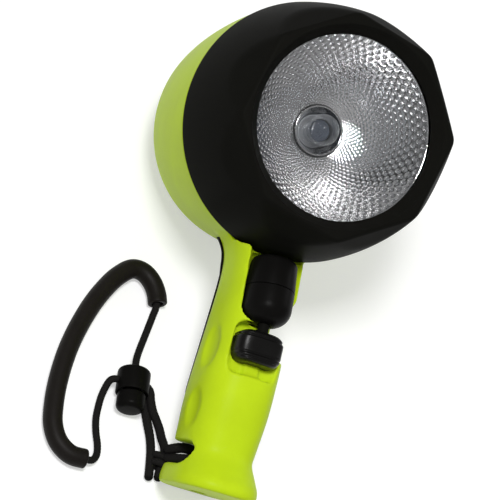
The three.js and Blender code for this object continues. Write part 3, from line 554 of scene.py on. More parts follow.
def mirror_finish(name, bright):
    finish = Finish(name, tinted((1, 1, 1), bright), metallic=1.0)
    cloud = finish.noise(160, 3)
    finish.colour(finish.blend(
        cloud, tinted((0.93, 0.935, 0.955), bright), tinted((1, 1, 1), bright)))
    finish.vary("Roughness", 0.02 + cloud * 0.04)
    finish.bump((finish.noise(420, 2), 0.000006))
    return finish.material


def metal_finish(name, base, roughness):
    finish = Finish(name, base, metallic=1.0, roughness=roughness)
    brushed = finish.noise(1, 2, place=finish.stretched((3200, 260, 3200)))
    cloud = finish.noise(180, 3)
    finish.colour(finish.blend(cloud, tinted(base, 0.86), base))
    finish.vary("Roughness", roughness - 0.06 + brushed * 0.14)
    finish.bump((brushed, 0.00001))
    return finish.material


def window_finish(name="clear_pane"):
    """Clear plastic: what it doesn't reflect passes straight through."""
    finish = Finish(name, (0.96, 0.98, 1.0), metallic=1.0, roughness=0.02)
    facing = Value(finish, finish.node("ShaderNodeFresnel", {}, {"IOR": 1.42}).outputs[0])
    haze = finish.noise(70, 4, 0.6).between(0.45, 0.8)
    finish.vary("Alpha", facing * 0.75 + haze * 0.012)
    finish.vary("Roughness", 0.01 + haze * 0.05)
    return finish.material


def plain_finish(name, base, roughness, grain_scale=2400, metallic=0.0):
    finish = Finish(name, base, roughness=roughness, metallic=metallic)
    cloud = finish.noise(220, 3)
    grain = finish.noise(grain_scale, 2)
    finish.colour(finish.blend(cloud, tinted(base, 0.8), tinted(base, 1.12)))
    finish.vary("Roughness", roughness - 0.06 + grain * 0.14)
    finish.bump((grain, 0.00002))
    return finish.material


FINISHES = {}


def finish_of(slot):
    """The material for one of the record's slots, made once."""
    makers = {
        "lime_plastic": lime_finish,
        "black_plastic": bezel_finish,
        "black_rubber": lambda: rubber_finish("black_rubber", tuple(colours().rubber)),
        "gloss_rubber": lambda: rubber_finish(
            "gloss_rubber", tuple(colours().rubber), 0.34, 0.03),
        "grip_rubber": grip_finish,
        "black_cord": cord_finish,
        "bright_reflector": lambda: mirror_finish("mirror_coat", 0.82),
        "gloss_plastic": lambda: rubber_finish(
            "gloss_plastic", tuple(colours().rubber), 0.28, 0.13),
        "clear_lens": window_finish,
        "bright_collar": lambda: mirror_finish("bright_collar", 0.6),
        "clear_dome": lambda: window_finish("clear_dome"),
        "plain_aluminium": lambda: metal_finish("plain_aluminium", (0.70, 0.71, 0.72), 0.36),
        "bright_steel": lambda: metal_finish("bright_steel", (0.62, 0.62, 0.63), 0.28),
        "brass_contact": lambda: metal_finish("brass_contact", (0.62, 0.42, 0.14), 0.32),
        "board_green": lambda: plain_finish("board_green", (0.028, 0.107, 0.042), 0.5),
        "cell_wrap": lambda: plain_finish("cell_wrap", (0.14, 0.15, 0.16), 0.38, 1800, 0.4),
        "led_chip": lambda: plain_finish("led_chip", (0.045, 0.055, 0.075), 0.2),
        "led_base": lambda: plain_finish("led_base", (0.5, 0.52, 0.55), 0.3),
        "dark_board": lambda: plain_finish("dark_board", (0.035, 0.037, 0.04), 0.45),
    }
    if slot not in FINISHES:
        FINISHES[slot] = makers[slot]()
    return FINISHES[slot]


# Mesh tools

def filleted(corners, steps=6, closed=True):
    """A line through (x, y, radius) corners, with each corner rounded to its radius."""
    points = []
    count = len(corners)
    for i, (x, y, radius) in enumerate(corners):
        if radius == 0 or not closed and i in (0, count - 1):
            points.append((x, y))
            continue
        corner = Vector((x, y))
        before = (Vector(corners[i - 1][:2]) - corner).normalized()
        after = (Vector(corners[(i + 1) % count][:2]) - corner).normalized()
        half = before.angle(after) / 2
        centre = corner + (before + after).normalized() * radius / math.sin(half)
        start = corner + before * radius / math.tan(half) - centre
        end = corner + after * radius / math.tan(half) - centre
        turn = math.atan2(start.cross(end), start.dot(end))
        for k in range(steps + 1):
            angle = turn * k / steps
            points.append((
                centre.x + start.x * math.cos(angle) - start.y * math.sin(angle),
                centre.y + start.x * math.sin(angle) + start.y * math.cos(angle)))
    return points


def tidy(bm):
    bmesh.ops.remove_doubles(bm, verts=bm.verts, dist=WELD)
    bmesh.ops.recalc_face_normals(bm, faces=bm.faces)
    return bm


def spun(profile, segments, closed=True, phase=0.0):
    """A profile of (radius, height) pairs turned once about z."""
    bm = bmesh.new()
    verts = [
        bm.verts.new((r * math.cos(phase), r * math.sin(phase), z)) for r, z in profile]
    pairs = list(zip(verts, verts[1:]))
    if closed:
        pairs.append((verts[-1], verts[0]))
    edges = [bm.edges.new(pair) for pair in pairs]
    bmesh.ops.spin(
        bm, geom=verts + edges, cent=(0, 0, 0), axis=(0, 0, 1), angle=FULL_TURN,
        steps=segments, use_merge=True)
    return tidy(bm)


def wrapped(columns, rows, place, capped=False):
    """A grid whose columns close on themselves; place(column, row) puts each corner."""
    bm = bmesh.new()
    bmesh.ops.create_grid(bm, x_segments=columns, y_segments=rows, size=1)
    for vert in bm.verts:
        column = round((vert.co.x + 1) / 2 * columns)
        row = round((vert.co.y + 1) / 2 * rows)
        vert.co = place(column % columns, row)
    bmesh.ops.remove_doubles(bm, verts=bm.verts, dist=WELD)
    if capped:
        rims = [edge for edge in bm.edges if edge.is_boundary]
        bmesh.ops.holes_fill(bm, edges=rims, sides=0)
    bmesh.ops.recalc_face_normals(bm, faces=bm.faces)
    return bm


def prism(outline, depth):
    """A flat outline of (x, y) pairs raised along z from zero."""
    bm = bmesh.new()
    face = bm.faces.new([bm.verts.new((x, y, 0)) for x, y in outline])
    raised = bmesh.ops.extrude_face_region(bm, geom=[face])["geom"]
    bmesh.ops.translate(
        bm, verts=[item for item in raised if isinstance(item, bmesh.types.BMVert)],
        vec=(0, 0, depth))
    return tidy(bm)


def block(width, depth, height, place=(0, 0, 0)):
    bm = bmesh.new()
    bmesh.ops.create_cube(
        bm, size=1,
        matrix=Matrix.Translation(place) @ Matrix.Diagonal((width, depth, height, 1)))
    return bm


def placed(bm, matrix):
    bm.transform(matrix)
    if matrix.determinant() < 0:
        bmesh.ops.reverse_faces(bm, faces=bm.faces)
    return bm


def as_object(name, bm):
    mesh = bpy.data.meshes.new(name)
    bm.to_mesh(mesh)
    bm.free()
    made = bpy.data.objects.new(name, mesh)
    bpy.context.scene.collection.objects.link(made)
    return made


def with_modifiers(bm, *modifiers):
    """The mesh after modifiers given as (type, settings)."""
    made = as_object("work", bm)
    for kind, settings in modifiers:
        modifier = made.modifiers.new(kind, kind)
        for name, setting in settings.items():
            setattr(modifier, name, setting)
    depsgraph = bpy.context.evaluated_depsgraph_get()
    result = bmesh.new()
    result.from_mesh(made.evaluated_get(depsgraph).to_mesh())
    bpy.data.objects.remove(made)
    return result


def combined(base, tool, operation):
    """Adds, cuts or intersects a closed mesh with another."""
    tool_object = as_object("tool", tool)
    result = with_modifiers(base, ("BOOLEAN", {
        "object": tool_object, "operation": operation, "solver": "MANIFOLD"}))
    bpy.data.objects.remove(tool_object)
    return result


def smooth_shaded(bm, sharp_angle):
    for face in bm.faces:
        face.smooth = True
    for edge in bm.edges:
        if len(edge.link_faces) == 2 and edge.calc_face_angle(0) > sharp_angle:
            edge.smooth = False


def finished(name, bm, matrix, body, slot, finish=None, replaced=(), sharp=40):
    """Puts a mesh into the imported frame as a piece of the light."""
    placed(bm, matrix)
    smooth_shaded(bm, math.radians(sharp))
    piece = as_object(name, bm)
    piece.data.materials.append(finish_of(finish or slot))
    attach(piece, body)
    if replaced:
        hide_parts(*replaced)
    return piece


# Lines and tubes

def through(points, share, power=0.0):
    """A point on a Catmull-Rom line; power 0 is uniform and 0.5 centripetal."""
    count = len(points)
    place = share * (count - 1)
    i = min(int(place), count - 2)
    w = place - i
    p1, p2 = points[i], points[i + 1]
    p0 = points[i - 1] if i > 0 else [2 * a - b for a, b in zip(p1, p2)]
    p3 = points[i + 2] if i + 2 < count else [2 * b - a for a, b in zip(p1, p2)]
    gap0, gap1, gap2 = (
        max(math.dist(a, b), 1e-6) ** power for a, b in ((p0, p1), (p1, p2), (p2, p3)))
    made = []
    for a, b, c, d in zip(p0, p1, p2, p3):
        start = ((b - a) / gap0 - (c - a) / (gap0 + gap1) + (c - b) / gap1) * gap1
        end = ((c - b) / gap1 - (d - b) / (gap1 + gap2) + (d - c) / gap2) * gap1
        made.append(
            b + start * w + (-3 * b + 3 * c - 2 * start - end) * w ** 2
            + (2 * b - 2 * c + start + end) * w ** 3)
    return made


def reaches(line):
    """How far along a line each of its points lies."""
    made = [0.0]
    for a, b in zip(line, line[1:]):
        made.append(made[-1] + (b - a).length)
    return made


def direction(line, i):
    """The way a line runs at one of its points."""
    return (line[min(len(line) - 1, i + 1)] - line[max(0, i - 1)]).normalized()


def evenly(points, spacing):
    """Points a fixed distance apart on the centripetal line through the given ones."""
    steps = 24 * (len(points) - 1)
    line = [Vector(through(points, k / steps, 0.5)) for k in range(steps + 1)]
    reach = reaches(line)
    count = max(2, round(reach[-1] / spacing))
    spread = []
    k = 0
    for step in range(count + 1):
        target = reach[-1] * step / count
        while k < steps - 1 and reach[k + 1] < target:
            k += 1
        span = reach[k + 1] - reach[k]
        spread.append(line[k].lerp(line[k + 1], (target - reach[k]) / span if span else 0))
    return spread


def carried(line):
    """(place, side, up) along a line, turned as little as possible from point to point."""
    side = direction(line, 0).orthogonal().normalized()
    frames = []
    for i, centre in enumerate(line):
        tangent = direction(line, i)
        side = (side - tangent * side.dot(tangent)).normalized()
        frames.append((centre, side, tangent.cross(side)))
    return frames


def soft_square(angle, squareness):
    """A point on a section between a circle, at squareness 2, and a square."""
    return (
        math.copysign(abs(part) ** (2 / squareness), part)
        for part in (math.cos(angle), math.sin(angle)))


def braid_height(angle, distance, radius):
    """Height of a two-way braid, from 0 in the joints to 1 on a strand."""
    strands = sizes().braid_strands
    advance = distance / radius * 0.9
    a = strands * (angle + advance) / FULL_TURN
    b = strands * (angle - advance) / FULL_TURN
    fa, fb = 2 * (a % 1) - 1, 2 * (b % 1) - 1
    if (math.floor(a) + math.floor(b)) % 2:
        fa, fb = fb, fa
    return math.sqrt(max(0.0, 1 - fa * fa * 0.95)) * (1 - 0.3 * fb * fb)


def braided_tube(line, radii, sides=24):
    """A cord's mesh round a line, with its braid as real relief and its ends rounded."""
    depth = sizes().braid_depth
    frames = carried(line)
    reach = reaches(line)

    def place(column, row):
        centre, side, up = frames[row]
        radius = radii[row]
        angle = FULL_TURN * column / sides
        here = radius - depth * (1 - braid_height(angle, reach[row], radius))
        left = min(reach[row], reach[-1] - reach[row])
        if left < radius:
            here *= math.sqrt(max(0.0, 1 - (1 - left / radius) ** 2))
        return centre + (side * math.cos(angle) + up * math.sin(angle)) * here

    bm = wrapped(sides, len(frames) - 1, place, capped=True)
    mark_strands(bm, line, radii)
    return bm


def mark_strands(bm, line, radii):
    """Writes how far each point stands out of the cord, which the cord's finish uses to paint shade
    into the braid's joints and lighten the strand tops.
    """
    layer = bm.verts.layers.float.new("strand")
    depth = max(sizes().braid_depth, 1e-6)
    tree = KDTree(len(line))
    for i, point in enumerate(line):
        tree.insert(point, i)
    tree.balance()
    for vert in bm.verts:
        _, index, _ = tree.find(vert.co)
        along = direction(line, index)
        off = vert.co - line[index]
        off -= along * off.dot(along)
        vert[layer] = min(1.0, max(0.0, 1 - (radii[index] - off.length) / depth))


# Camera

class SPOTLIGHT_OT_camera(Operator):
    """Sets the camera at the photograph's viewing angle"""

    bl_idname = "spotlight.camera"
    bl_label = "Camera"

    def execute(self, context):
        axes = Matrix(CAMERA_AXES)
        back = Vector((0, 0, CAMERA_DISTANCE)) - Vector(CAMERA_OFFSET)
        turn = BEAM.to_3x3().normalized() @ axes.transposed()
        data = bpy.data.cameras.new("camera")
        data.lens = CAMERA_LENS
        data.sensor_width = 36
        data.clip_start = 0.1
        data.clip_end = 20
        camera = bpy.data.objects.new("camera", data)
        context.scene.collection.objects.link(camera)
        camera.matrix_world = Matrix.Translation(
            BEAM @ (axes.transposed() @ back)) @ turn.to_4x4()
        context.scene.camera = camera
        return {"FINISHED"}


# Lanyard

def knot_mesh():
    """The turns of cord that hold the right leg, the bight's ends and the tails together."""
    parts, steps = bmesh.new(), 48
    for shift, tilt in KNOT_TURNS:
        turn = []
        for step in range(steps + 1):
            angle = FULL_TURN * step / steps
            across = KNOT_ACROSS * math.cos(angle)
            turn.append(Vector(KNOT_MIDDLE) + Vector((
                across, shift + tilt * across, KNOT_HEIGHT * math.sin(angle))))
        part = braided_tube(turn, [STRAND_RADIUS] * len(turn), sides=20)
        mesh = bpy.data.meshes.new("part")
        part.to_mesh(mesh)
        part.free()
        parts.from_mesh(mesh)
        bpy.data.meshes.remove(mesh)
    return parts


class SPOTLIGHT_OT_knot(Operator):
    """Adds the turns of the lanyard's knot"""

    bl_idname = "spotlight.knot"
    bl_label = "Knot"

    def execute(self, context):
        finished("lanyard_knot", knot_mesh(), SURFACE, "light_body", "black_cord",
                 replaced=["cord_knot"])
        return {"FINISHED"}


class SPOTLIGHT_OT_grip_tube(Operator):
    """Adds the thick rubber tube that holds the lanyard's loop open"""

    bl_idname = "spotlight.grip_tube"
    bl_label = "Grip tube"

    def execute(self, context):
        line = evenly(GRIP_ROUTE, 0.9)
        frames = carried(line)
        rows = len(frames) - 1
        reach = reaches(line)[-1]
        # The wall's section runs out of the bore, over one lip, along and in over the other
        mouth = [
            (GRIP_BORE_DEPTH, GRIP_BORE), (0.5, GRIP_BORE), (0.12, GRIP_BORE + 0.15),
            (0, GRIP_BORE + 0.45)]
        for k in range(7):
            angle = math.pi / 2 * k / 6
            mouth.append((
                GRIP_LIP * (1 - math.cos(angle)), GRIP_RADIUS - GRIP_LIP * (1 - math.sin(angle))))
        straight = reach - 2 * GRIP_LIP
        steps = int(straight)
        profile = mouth + [
            (GRIP_LIP + straight * k / steps, GRIP_RADIUS) for k in range(1, steps)]
        profile += [(reach - at, radius) for at, radius in reversed(mouth)]

        def at_reach(at):
            share = min(max(at / reach, 0.0), 1.0) * rows
            i = min(int(share), rows - 1)
            centre, side, up = (
                a.lerp(b, share - i) for a, b in zip(frames[i], frames[i + 1]))
            return centre, side.normalized(), up.normalized()

        placed_rings = [(*at_reach(at), radius) for at, radius in profile]
        columns = 40

        def place(column, row):
            centre, side, up, radius = placed_rings[row]
            angle = FULL_TURN * column / columns
            return centre + (side * math.cos(angle) + up * math.sin(angle)) * radius

        bm = wrapped(columns, len(profile) - 1, place, capped=True)
        finished("grip_sleeve", bm, SURFACE, "light_body", "black_rubber", "grip_rubber",
                 replaced=["grip_tube"])
        return {"FINISHED"}


class SPOTLIGHT_OT_cord_lock(Operator):
    """Adds the cord lock's body and its sprung button"""

    bl_idname = "spotlight.cord_lock"
    bl_label = "Cord lock"

    def execute(self, context):
        back = -LOCK_LENGTH
        mouth, skirt = BUTTON_RADIUS + BUTTON_PLAY, back - LOCK_SKIRT
        deepest = back + LOCK_BORE_DEPTH
        shell = filleted((
            (0, LOCK_CROWN, 0), (LOCK_RADIUS, LOCK_CROWN, 1.6), (LOCK_RADIUS, skirt, 0.35),
            (mouth, skirt, 0.15), (mouth, back, 0.2), (LOCK_BORE, back, 0.4),
            (LOCK_BORE, deepest, 0), (0, deepest, 0)), 5)
        finished("lock_shell", spun(shell, 72), LOCK, "light_body", "black_plastic",
                 "gloss_rubber", replaced=["lock_body"], sharp=50)

        top = -LOCK_LENGTH - BUTTON_GAP
        bottom = top - BUTTON_LENGTH
        plunger = filleted((
            (0, top + STEM_LENGTH, 0), (STEM_RADIUS, top + STEM_LENGTH, 0.5),
            (STEM_RADIUS, top, 0.3), (BUTTON_RADIUS, top, 0.8), (BUTTON_RADIUS, bottom, 2.4),
            (0, bottom, 0)), 6)
        finished("lock_plunger", spun(plunger, 64), LOCK, "cord_lock_button", "black_plastic",
                 "gloss_rubber", replaced=["lock_button"], sharp=50)
        return {"FINISHED"}


def bight_points():
    around = PIN_RADIUS + HITCH_RADIUS + SEAT_GAP / 2
    upper = SLOT_PLACE + HITCH_RAISE + HITCH_LEVEL_OFFSET
    lower = SLOT_PLACE + HITCH_RAISE - HITCH_LEVEL_OFFSET
    to_surface = SURFACE.inverted() @ BEAM

    def seen(x, y, z):
        return to_surface @ Vector((x, y, z))

    points = [Vector(HITCH_START), seen(HITCH_ENTRY, upper, PIN_FORWARD - around * 0.75)]
    for i in range(9):
        angle = HITCH_TURN_START + HITCH_TURN * i / 8
        level = upper + (lower - upper) * i / 8
        points.append(seen(
            around * math.cos(angle), level, PIN_FORWARD + around * math.sin(angle)))
    points += [seen(HITCH_EXIT, lower, PIN_FORWARD + around * 0.5), Vector(HITCH_END)]
    return points


def loop_points():
    """The long strand: from one tail up the left leg, through the lock and back to the other."""
    inside_grip = GRIP_ROUTE[::-1][1:-1]
    return [
        *LEFT_TAIL, *LEFT_LEG_ROUTE[::-1], LOWER_LOCK_END, *LOWER_ROUTE[::-1], *inside_grip,
        *UPPER_ROUTE, UPPER_LOCK_END, *RIGHT_LEG_ROUTE, *RIGHT_TAIL]


def loop_radii(line):
    """The doubled legs have slack braid and are thicker than the strands above the lock."""
    reach = reaches(line)
    radii = []
    for at in reach:
        left = min(at, reach[-1] - at)
        share = min(1.0, max(0.0, (left - LEG_REACH) / LEG_FADE))
        radii.append(LEG_RADIUS + (STRAND_RADIUS - LEG_RADIUS) * share * share * (3 - 2 * share))
    return radii


class SPOTLIGHT_OT_cords(Operator):
    """Adds the lanyard's braided cord: the long loop and the bight round the pin"""

    bl_idname = "spotlight.cords"
    bl_label = "Cords"

    def execute(self, context):
        pieces = context.scene.objects
        for name, points, nodes, with_pieces in (
                ("lanyard_loop", loop_points(),
                 ["cord_leg_left", "cord_leg_right", "cord_upper", "cord_lower"],
                 ["lanyard_knot", "grip_sleeve", "lock_shell", "lock_plunger"]),
                ("lanyard_bight", bight_points(), ["cord_hitch"], [])):
            line = evenly(points, 0.34)
            radii = loop_radii(line) if name == "lanyard_loop" else [HITCH_RADIUS] * len(line)
            bm = braided_tube(line, radii)
            piece = finished(name, bm, SURFACE, "light_body", "black_cord", replaced=nodes)
            path = [SURFACE @ point for point in line]
            tuple(path[0])
            round(reaches(path)[-1], 4)
            [tuple(point) for point in path]
            [pieces[piece_name] for piece_name in with_pieces]
        return {"FINISHED"}


# Housing

def handle_mesh(grow):
    sides, rows = 96, 120
    length = HANDLE_BOTTOM - HANDLE_TOP
    stations = [
        (-HANDLE_TOP - down * length, width * HANDLE_HALF_WIDTH + grow,
         back * HANDLE_BACK + grow, front * HANDLE_FRONT + grow)
        for down, width, back, front in HANDLE_STATIONS]
    rings = [through(stations, row / rows) for row in range(rows + 1)]

    def place(column, row):
        y, half_width, back, front = rings[row]
        angle = FULL_TURN * column / sides
        squareness = HANDLE_BACK_SQUARENESS if math.sin(angle) < 0 else HANDLE_FRONT_SQUARENESS
        across, along = soft_square(angle, squareness)
        return Vector((
            half_width * across, y, (front - back) / 2 + (front + back) / 2 * along))

    return wrapped(sides, rows, place, capped=True)


def bowl_arc(radius, steps):
    centre = BOWL_CORNER_RADIUS - BOWL_DEPTH
    made = []
    for k in range(steps + 1):
        angle = -BOWL_CORNER_START + (BOWL_CORNER_START - math.pi / 2) * k / steps
        made.append((
            BOWL_CORNER_CENTRE + radius * math.cos(angle), centre + radius * math.sin(angle)))
    return made


def bowl_mesh():
    """The outside of the bowl, run on past its front edge."""
    corner = bowl_arc(BOWL_CORNER_RADIUS, 22)
    start, control, end = (BOWL_SHOULDER_RADIUS, -SEAT_GAP), BOWL_FLANK, corner[0]
    flank = []
    for k in range(16):
        t = k / 16
        flank.append(tuple(
            a * (1 - t) ** 2 + 2 * b * t * (1 - t) + c * t ** 2
            for a, b, c in zip(start, control, end)))
    profile = [(0, 4), (BOWL_SHOULDER_RADIUS, 4), *flank, *corner, (0, -BOWL_DEPTH)]
    return spun(profile, 160, closed=False)


def barrel_outline(grow):
    radius = BARREL_RADIUS + grow
    end = BARREL_END - grow
    rounding = BARREL_ROUNDING + grow
    points = [(0, end)]
    for k in range(9):
        angle = -math.pi / 2 + math.pi / 2 * k / 8
        points.append((
            radius - rounding + rounding * math.cos(angle),
            end + rounding + rounding * math.sin(angle)))
    return points


def barrel_pocket():
    """Room for the barrel, open and flared to the front."""
    grow, top = SEAT_GAP, BARREL_TOP + POCKET_HEADROOM
    profile = barrel_outline(grow) + [
        (BARREL_RADIUS + grow, BARREL_SEAM), (BARREL_TOP_RADIUS + grow, BARREL_TOP),
        (BARREL_TOP_RADIUS + grow, top), (0, top)]
    round_part = placed(spun(profile, 96, closed=False), BEAM.inverted() @ BARREL)
    low, reach = BARREL_END + BARREL_ROUNDING, 30
    half, flared = BARREL_RADIUS + grow, BARREL_RADIUS + grow + reach * WALL_FLARE
    front = prism(((-half, 1), (half, 1), (flared, -reach), (-flared, -reach)), top - low)
    front = placed(front, BEAM.inverted() @ BARREL @ Matrix.Translation((0, 0, low)))
    return combined(round_part, front, "UNION")


def recess_low():
    """How far the slide's recess reaches down its sloping floor."""
    return (BARREL_PLACE[1] - RECESS_END) / math.cos(BARREL_TILT) \
        - RECESS_FLOOR * math.tan(BARREL_TILT)


def slide_rail(grow, above):
    low = -recess_low()
    top = BARREL_END - BARREL_ROUNDING / 2 + above
    return placed(
        block(RAIL_WIDTH + 2 * grow, top - low + grow, RAIL_HEIGHT + grow + 2,
              (0, (top + low - grow) / 2, (RAIL_HEIGHT + grow - 2) / 2)), SLIDE_FLOOR)


def slide_recess():
    half, high, low = RECESS_HALF_WIDTH, BARREL_END - SEAT_GAP, -recess_low()
    cut = prism(filleted((
        (half, high, RECESS_CORNER), (-half, high, RECESS_CORNER), (-half, low, RECESS_CORNER),
        (half, low, RECESS_CORNER)), 8), RECESS_HEIGHT)
    for vert in cut.verts:
        if vert.co.z > 0:
            vert.co.x *= 1 + RECESS_FLARE * RECESS_HEIGHT / half
    placed(cut, SLIDE_FLOOR)
    return combined(cut, slide_rail(0, 0), "DIFFERENCE")


def lanyard_slot():
    half = SLOT_HEIGHT / 2
    centre = SLOT_FORWARD - half
    outline = [(SLOT_BEHIND, -half)]
    outline += [
        (centre + half * math.sin(math.pi * k / 24), -half * math.cos(math.pi * k / 24))
        for k in range(25)]
    outline.append((SLOT_BEHIND, half))
    # x of the outline is forward, y is up the handle, and it is raised across
    turn = Matrix(((0, 0, 1, -SLOT_SPAN / 2), (0, 1, 0, SLOT_PLACE), (1, 0, 0, 0), (0, 0, 0, 1)))
    return placed(prism(outline, SLOT_SPAN), turn)


def scoop(side, down, centre):
    """A broad finger hollow, as the egg that cuts it into the handle's side."""
    bm = bmesh.new()
    bmesh.ops.create_uvsphere(
        bm, u_segments=40, v_segments=24, radius=1,
        matrix=Matrix.Translation((side * centre, down, SCOOP_FORWARD))
        @ Matrix.Diagonal((*SCOOP_RADII, 1)))
    return bm


def cheek_opening():
    """The opening in the right cheek beside the neck, slanting back and outwards."""
    cut = placed(
        prism(filleted(CHEEK_OUTLINE, 5), CHEEK_REACH), Matrix.Translation((0, 0, CHEEK_BACK)))
    across, down = CHEEK_SLANT
    placed(cut, Matrix(((1, 0, across, 0), (0, 1, down, 0), (0, 0, 1, 0), (0, 0, 0, 1))))
    return combined(cut, bowl_mesh(), "DIFFERENCE")


def strip_band(grow):
    """The strip's footprint: its top follows the bowl and flares, its bottom is rounded."""
    half, flare = STRIP_WIDTH / 2 + grow, STRIP_FLARE_WIDTH / 2 + grow
    reach = STRIP_TOP_RADIUS - grow
    bottom, rounding = STRIP_BOTTOM - grow, STRIP_END_RADIUS + grow
    outline = filleted((
        (half, STRIP_FLARE_END, 0), (half, bottom, rounding), (-half, bottom, rounding),
        (-half, STRIP_FLARE_END, 0)), 8, closed=False)
    turn = math.asin(flare / reach)
    outline += [
        (reach * math.sin(turn * k / 12), -reach * math.cos(turn * k / 12))
        for k in range(-12, 13)]
    deepest = 2 * HANDLE_BACK
    return placed(prism(outline, deepest - STRIP_SIDE_DEPTH + grow),
                  Matrix.Translation((0, 0, -deepest)))


def bezel_sweep():
    """Room for the bezel, with a fine groove that breaks the shoulder's edge."""
    shoulder = BOWL_SHOULDER_RADIUS
    return spun((
        (0, -SEAT_GAP), (shoulder - 0.6, -SEAT_GAP), (shoulder, -SEAT_GAP - 0.5),
        (shoulder + 0.6, -SEAT_GAP), (shoulder + 1.2, -SEAT_GAP), (shoulder + 1.2, 60), (0, 60)),
        192, closed=False)


class SPOTLIGHT_OT_housing(Operator):
    """Adds the moulded housing: bowl, handle, switch bed, scoops and lanyard slot"""

    bl_idname = "spotlight.housing"
    bl_label = "Housing"

    def execute(self, context):
        body = combined(bowl_mesh(), handle_mesh(0), "UNION")
        for tool in (barrel_pocket(), slide_recess(), lanyard_slot(), cheek_opening()):
            body = combined(body, tool, "DIFFERENCE")
        for down, centre in SCOOPS:
            for side in (-1, 1):
                body = combined(body, scoop(side, down, centre), "DIFFERENCE")
        body = combined(body, bezel_sweep(), "DIFFERENCE")
        voxel = sizes().housing_voxel
        body = with_modifiers(
            body,
            ("REMESH", {"mode": "VOXEL", "voxel_size": voxel, "use_smooth_shade": True}),
            ("SMOOTH", {"factor": 0.5, "iterations": 6}))

        body = combined(body, bezel_sweep(), "DIFFERENCE")
        groove_floor = RIM_OUTER_RADIUS - SEAL_GROOVE_DEPTH
        rim = filleted((
            (RIM_INNER_RADIUS - RIM_ROOT, -SEAT_GAP - RIM_ROOT, 0),
            (RIM_OUTER_RADIUS, -SEAT_GAP - RIM_ROOT, 0),
            (RIM_OUTER_RADIUS, SEAL_GROOVE_LOW, 0.2), (groove_floor, SEAL_GROOVE_LOW, 0.2),
            (groove_floor, SEAL_GROOVE_HIGH, 0.2), (RIM_OUTER_RADIUS, SEAL_GROOVE_HIGH, 0.2),
            (RIM_OUTER_RADIUS, RIM_LENGTH, 0.6), (RIM_INNER_RADIUS - RIM_ROOT, RIM_LENGTH, 0)), 3)
        body = combined(body, spun(rim, 192), "UNION")
        cavity = [
            (0, RIM_LENGTH + OVERRUN), (RIM_INNER_RADIUS, RIM_LENGTH + OVERRUN),
            (RIM_INNER_RADIUS, RIM_LENGTH),
            *bowl_arc(BOWL_CORNER_RADIUS - BOWL_WALL, 10), (0, BOWL_WALL - BOWL_DEPTH)]
        body = combined(body, spun(cavity, 96, closed=False), "DIFFERENCE")
        bore_radius, bore_top = PIN_RADIUS + SEAT_GAP, PIN_TOP + SEAT_GAP
        bore = [
            (0, PIN_BORE_BOTTOM), (bore_radius, PIN_BORE_BOTTOM), (bore_radius, bore_top),
            (0, bore_top)]
        turn = Matrix.Translation((0, 0, PIN_FORWARD)) @ Matrix.Rotation(-math.pi / 2, 4, "X")
        body = combined(body, placed(spun(bore, 64, closed=False), turn), "DIFFERENCE")
        channel = combined(
            strip_band(SEAT_GAP), handle_mesh(-STRIP_SUNK - SEAT_GAP), "DIFFERENCE")
        body = combined(body, channel, "DIFFERENCE")
        finished("housing_shell", body, BEAM, "light_body", "lime_plastic",
                 replaced=["housing"], sharp=38)
        return {"FINISHED"}


class SPOTLIGHT_OT_spine_strip(Operator):
    """Adds the soft strip let into the back of the handle"""

    bl_idname = "spotlight.spine_strip"
    bl_label = "Spine strip"

    def execute(self, context):
        strip = combined(handle_mesh(STRIP_PROUD), strip_band(0), "INTERSECT")
        strip = combined(strip, handle_mesh(-STRIP_SUNK), "DIFFERENCE")
        edges = [
            edge for edge in strip.edges
            if len(edge.link_faces) == 2 and edge.calc_face_angle(0) > math.radians(50)]
        bmesh.ops.bevel(strip, geom=edges, offset=0.3, offset_type="OFFSET", segments=2,
                        profile=0.5, affect="EDGES", clamp_overlap=True, material=-1)
        finished("spine_inlay", strip, BEAM, "light_body", "black_rubber",
                 replaced=["spine_strip"], sharp=50)
        return {"FINISHED"}


# Head

def bezel_radius(height):
    share = height / BEZEL_LENGTH
    fall = BEZEL_REAR_RADIUS - BEZEL_NOSE_RADIUS
    return BEZEL_REAR_RADIUS - fall * (
        BEZEL_TAPER_SHARE * share + (1 - BEZEL_TAPER_SHARE) * share ** 2)


def soft_least(a, b, rounding):
    """The smaller of two lengths, with the crease between them rounded off."""
    h = max(rounding - abs(a - b), 0) / rounding
    return min(a, b) - h * h * rounding / 4


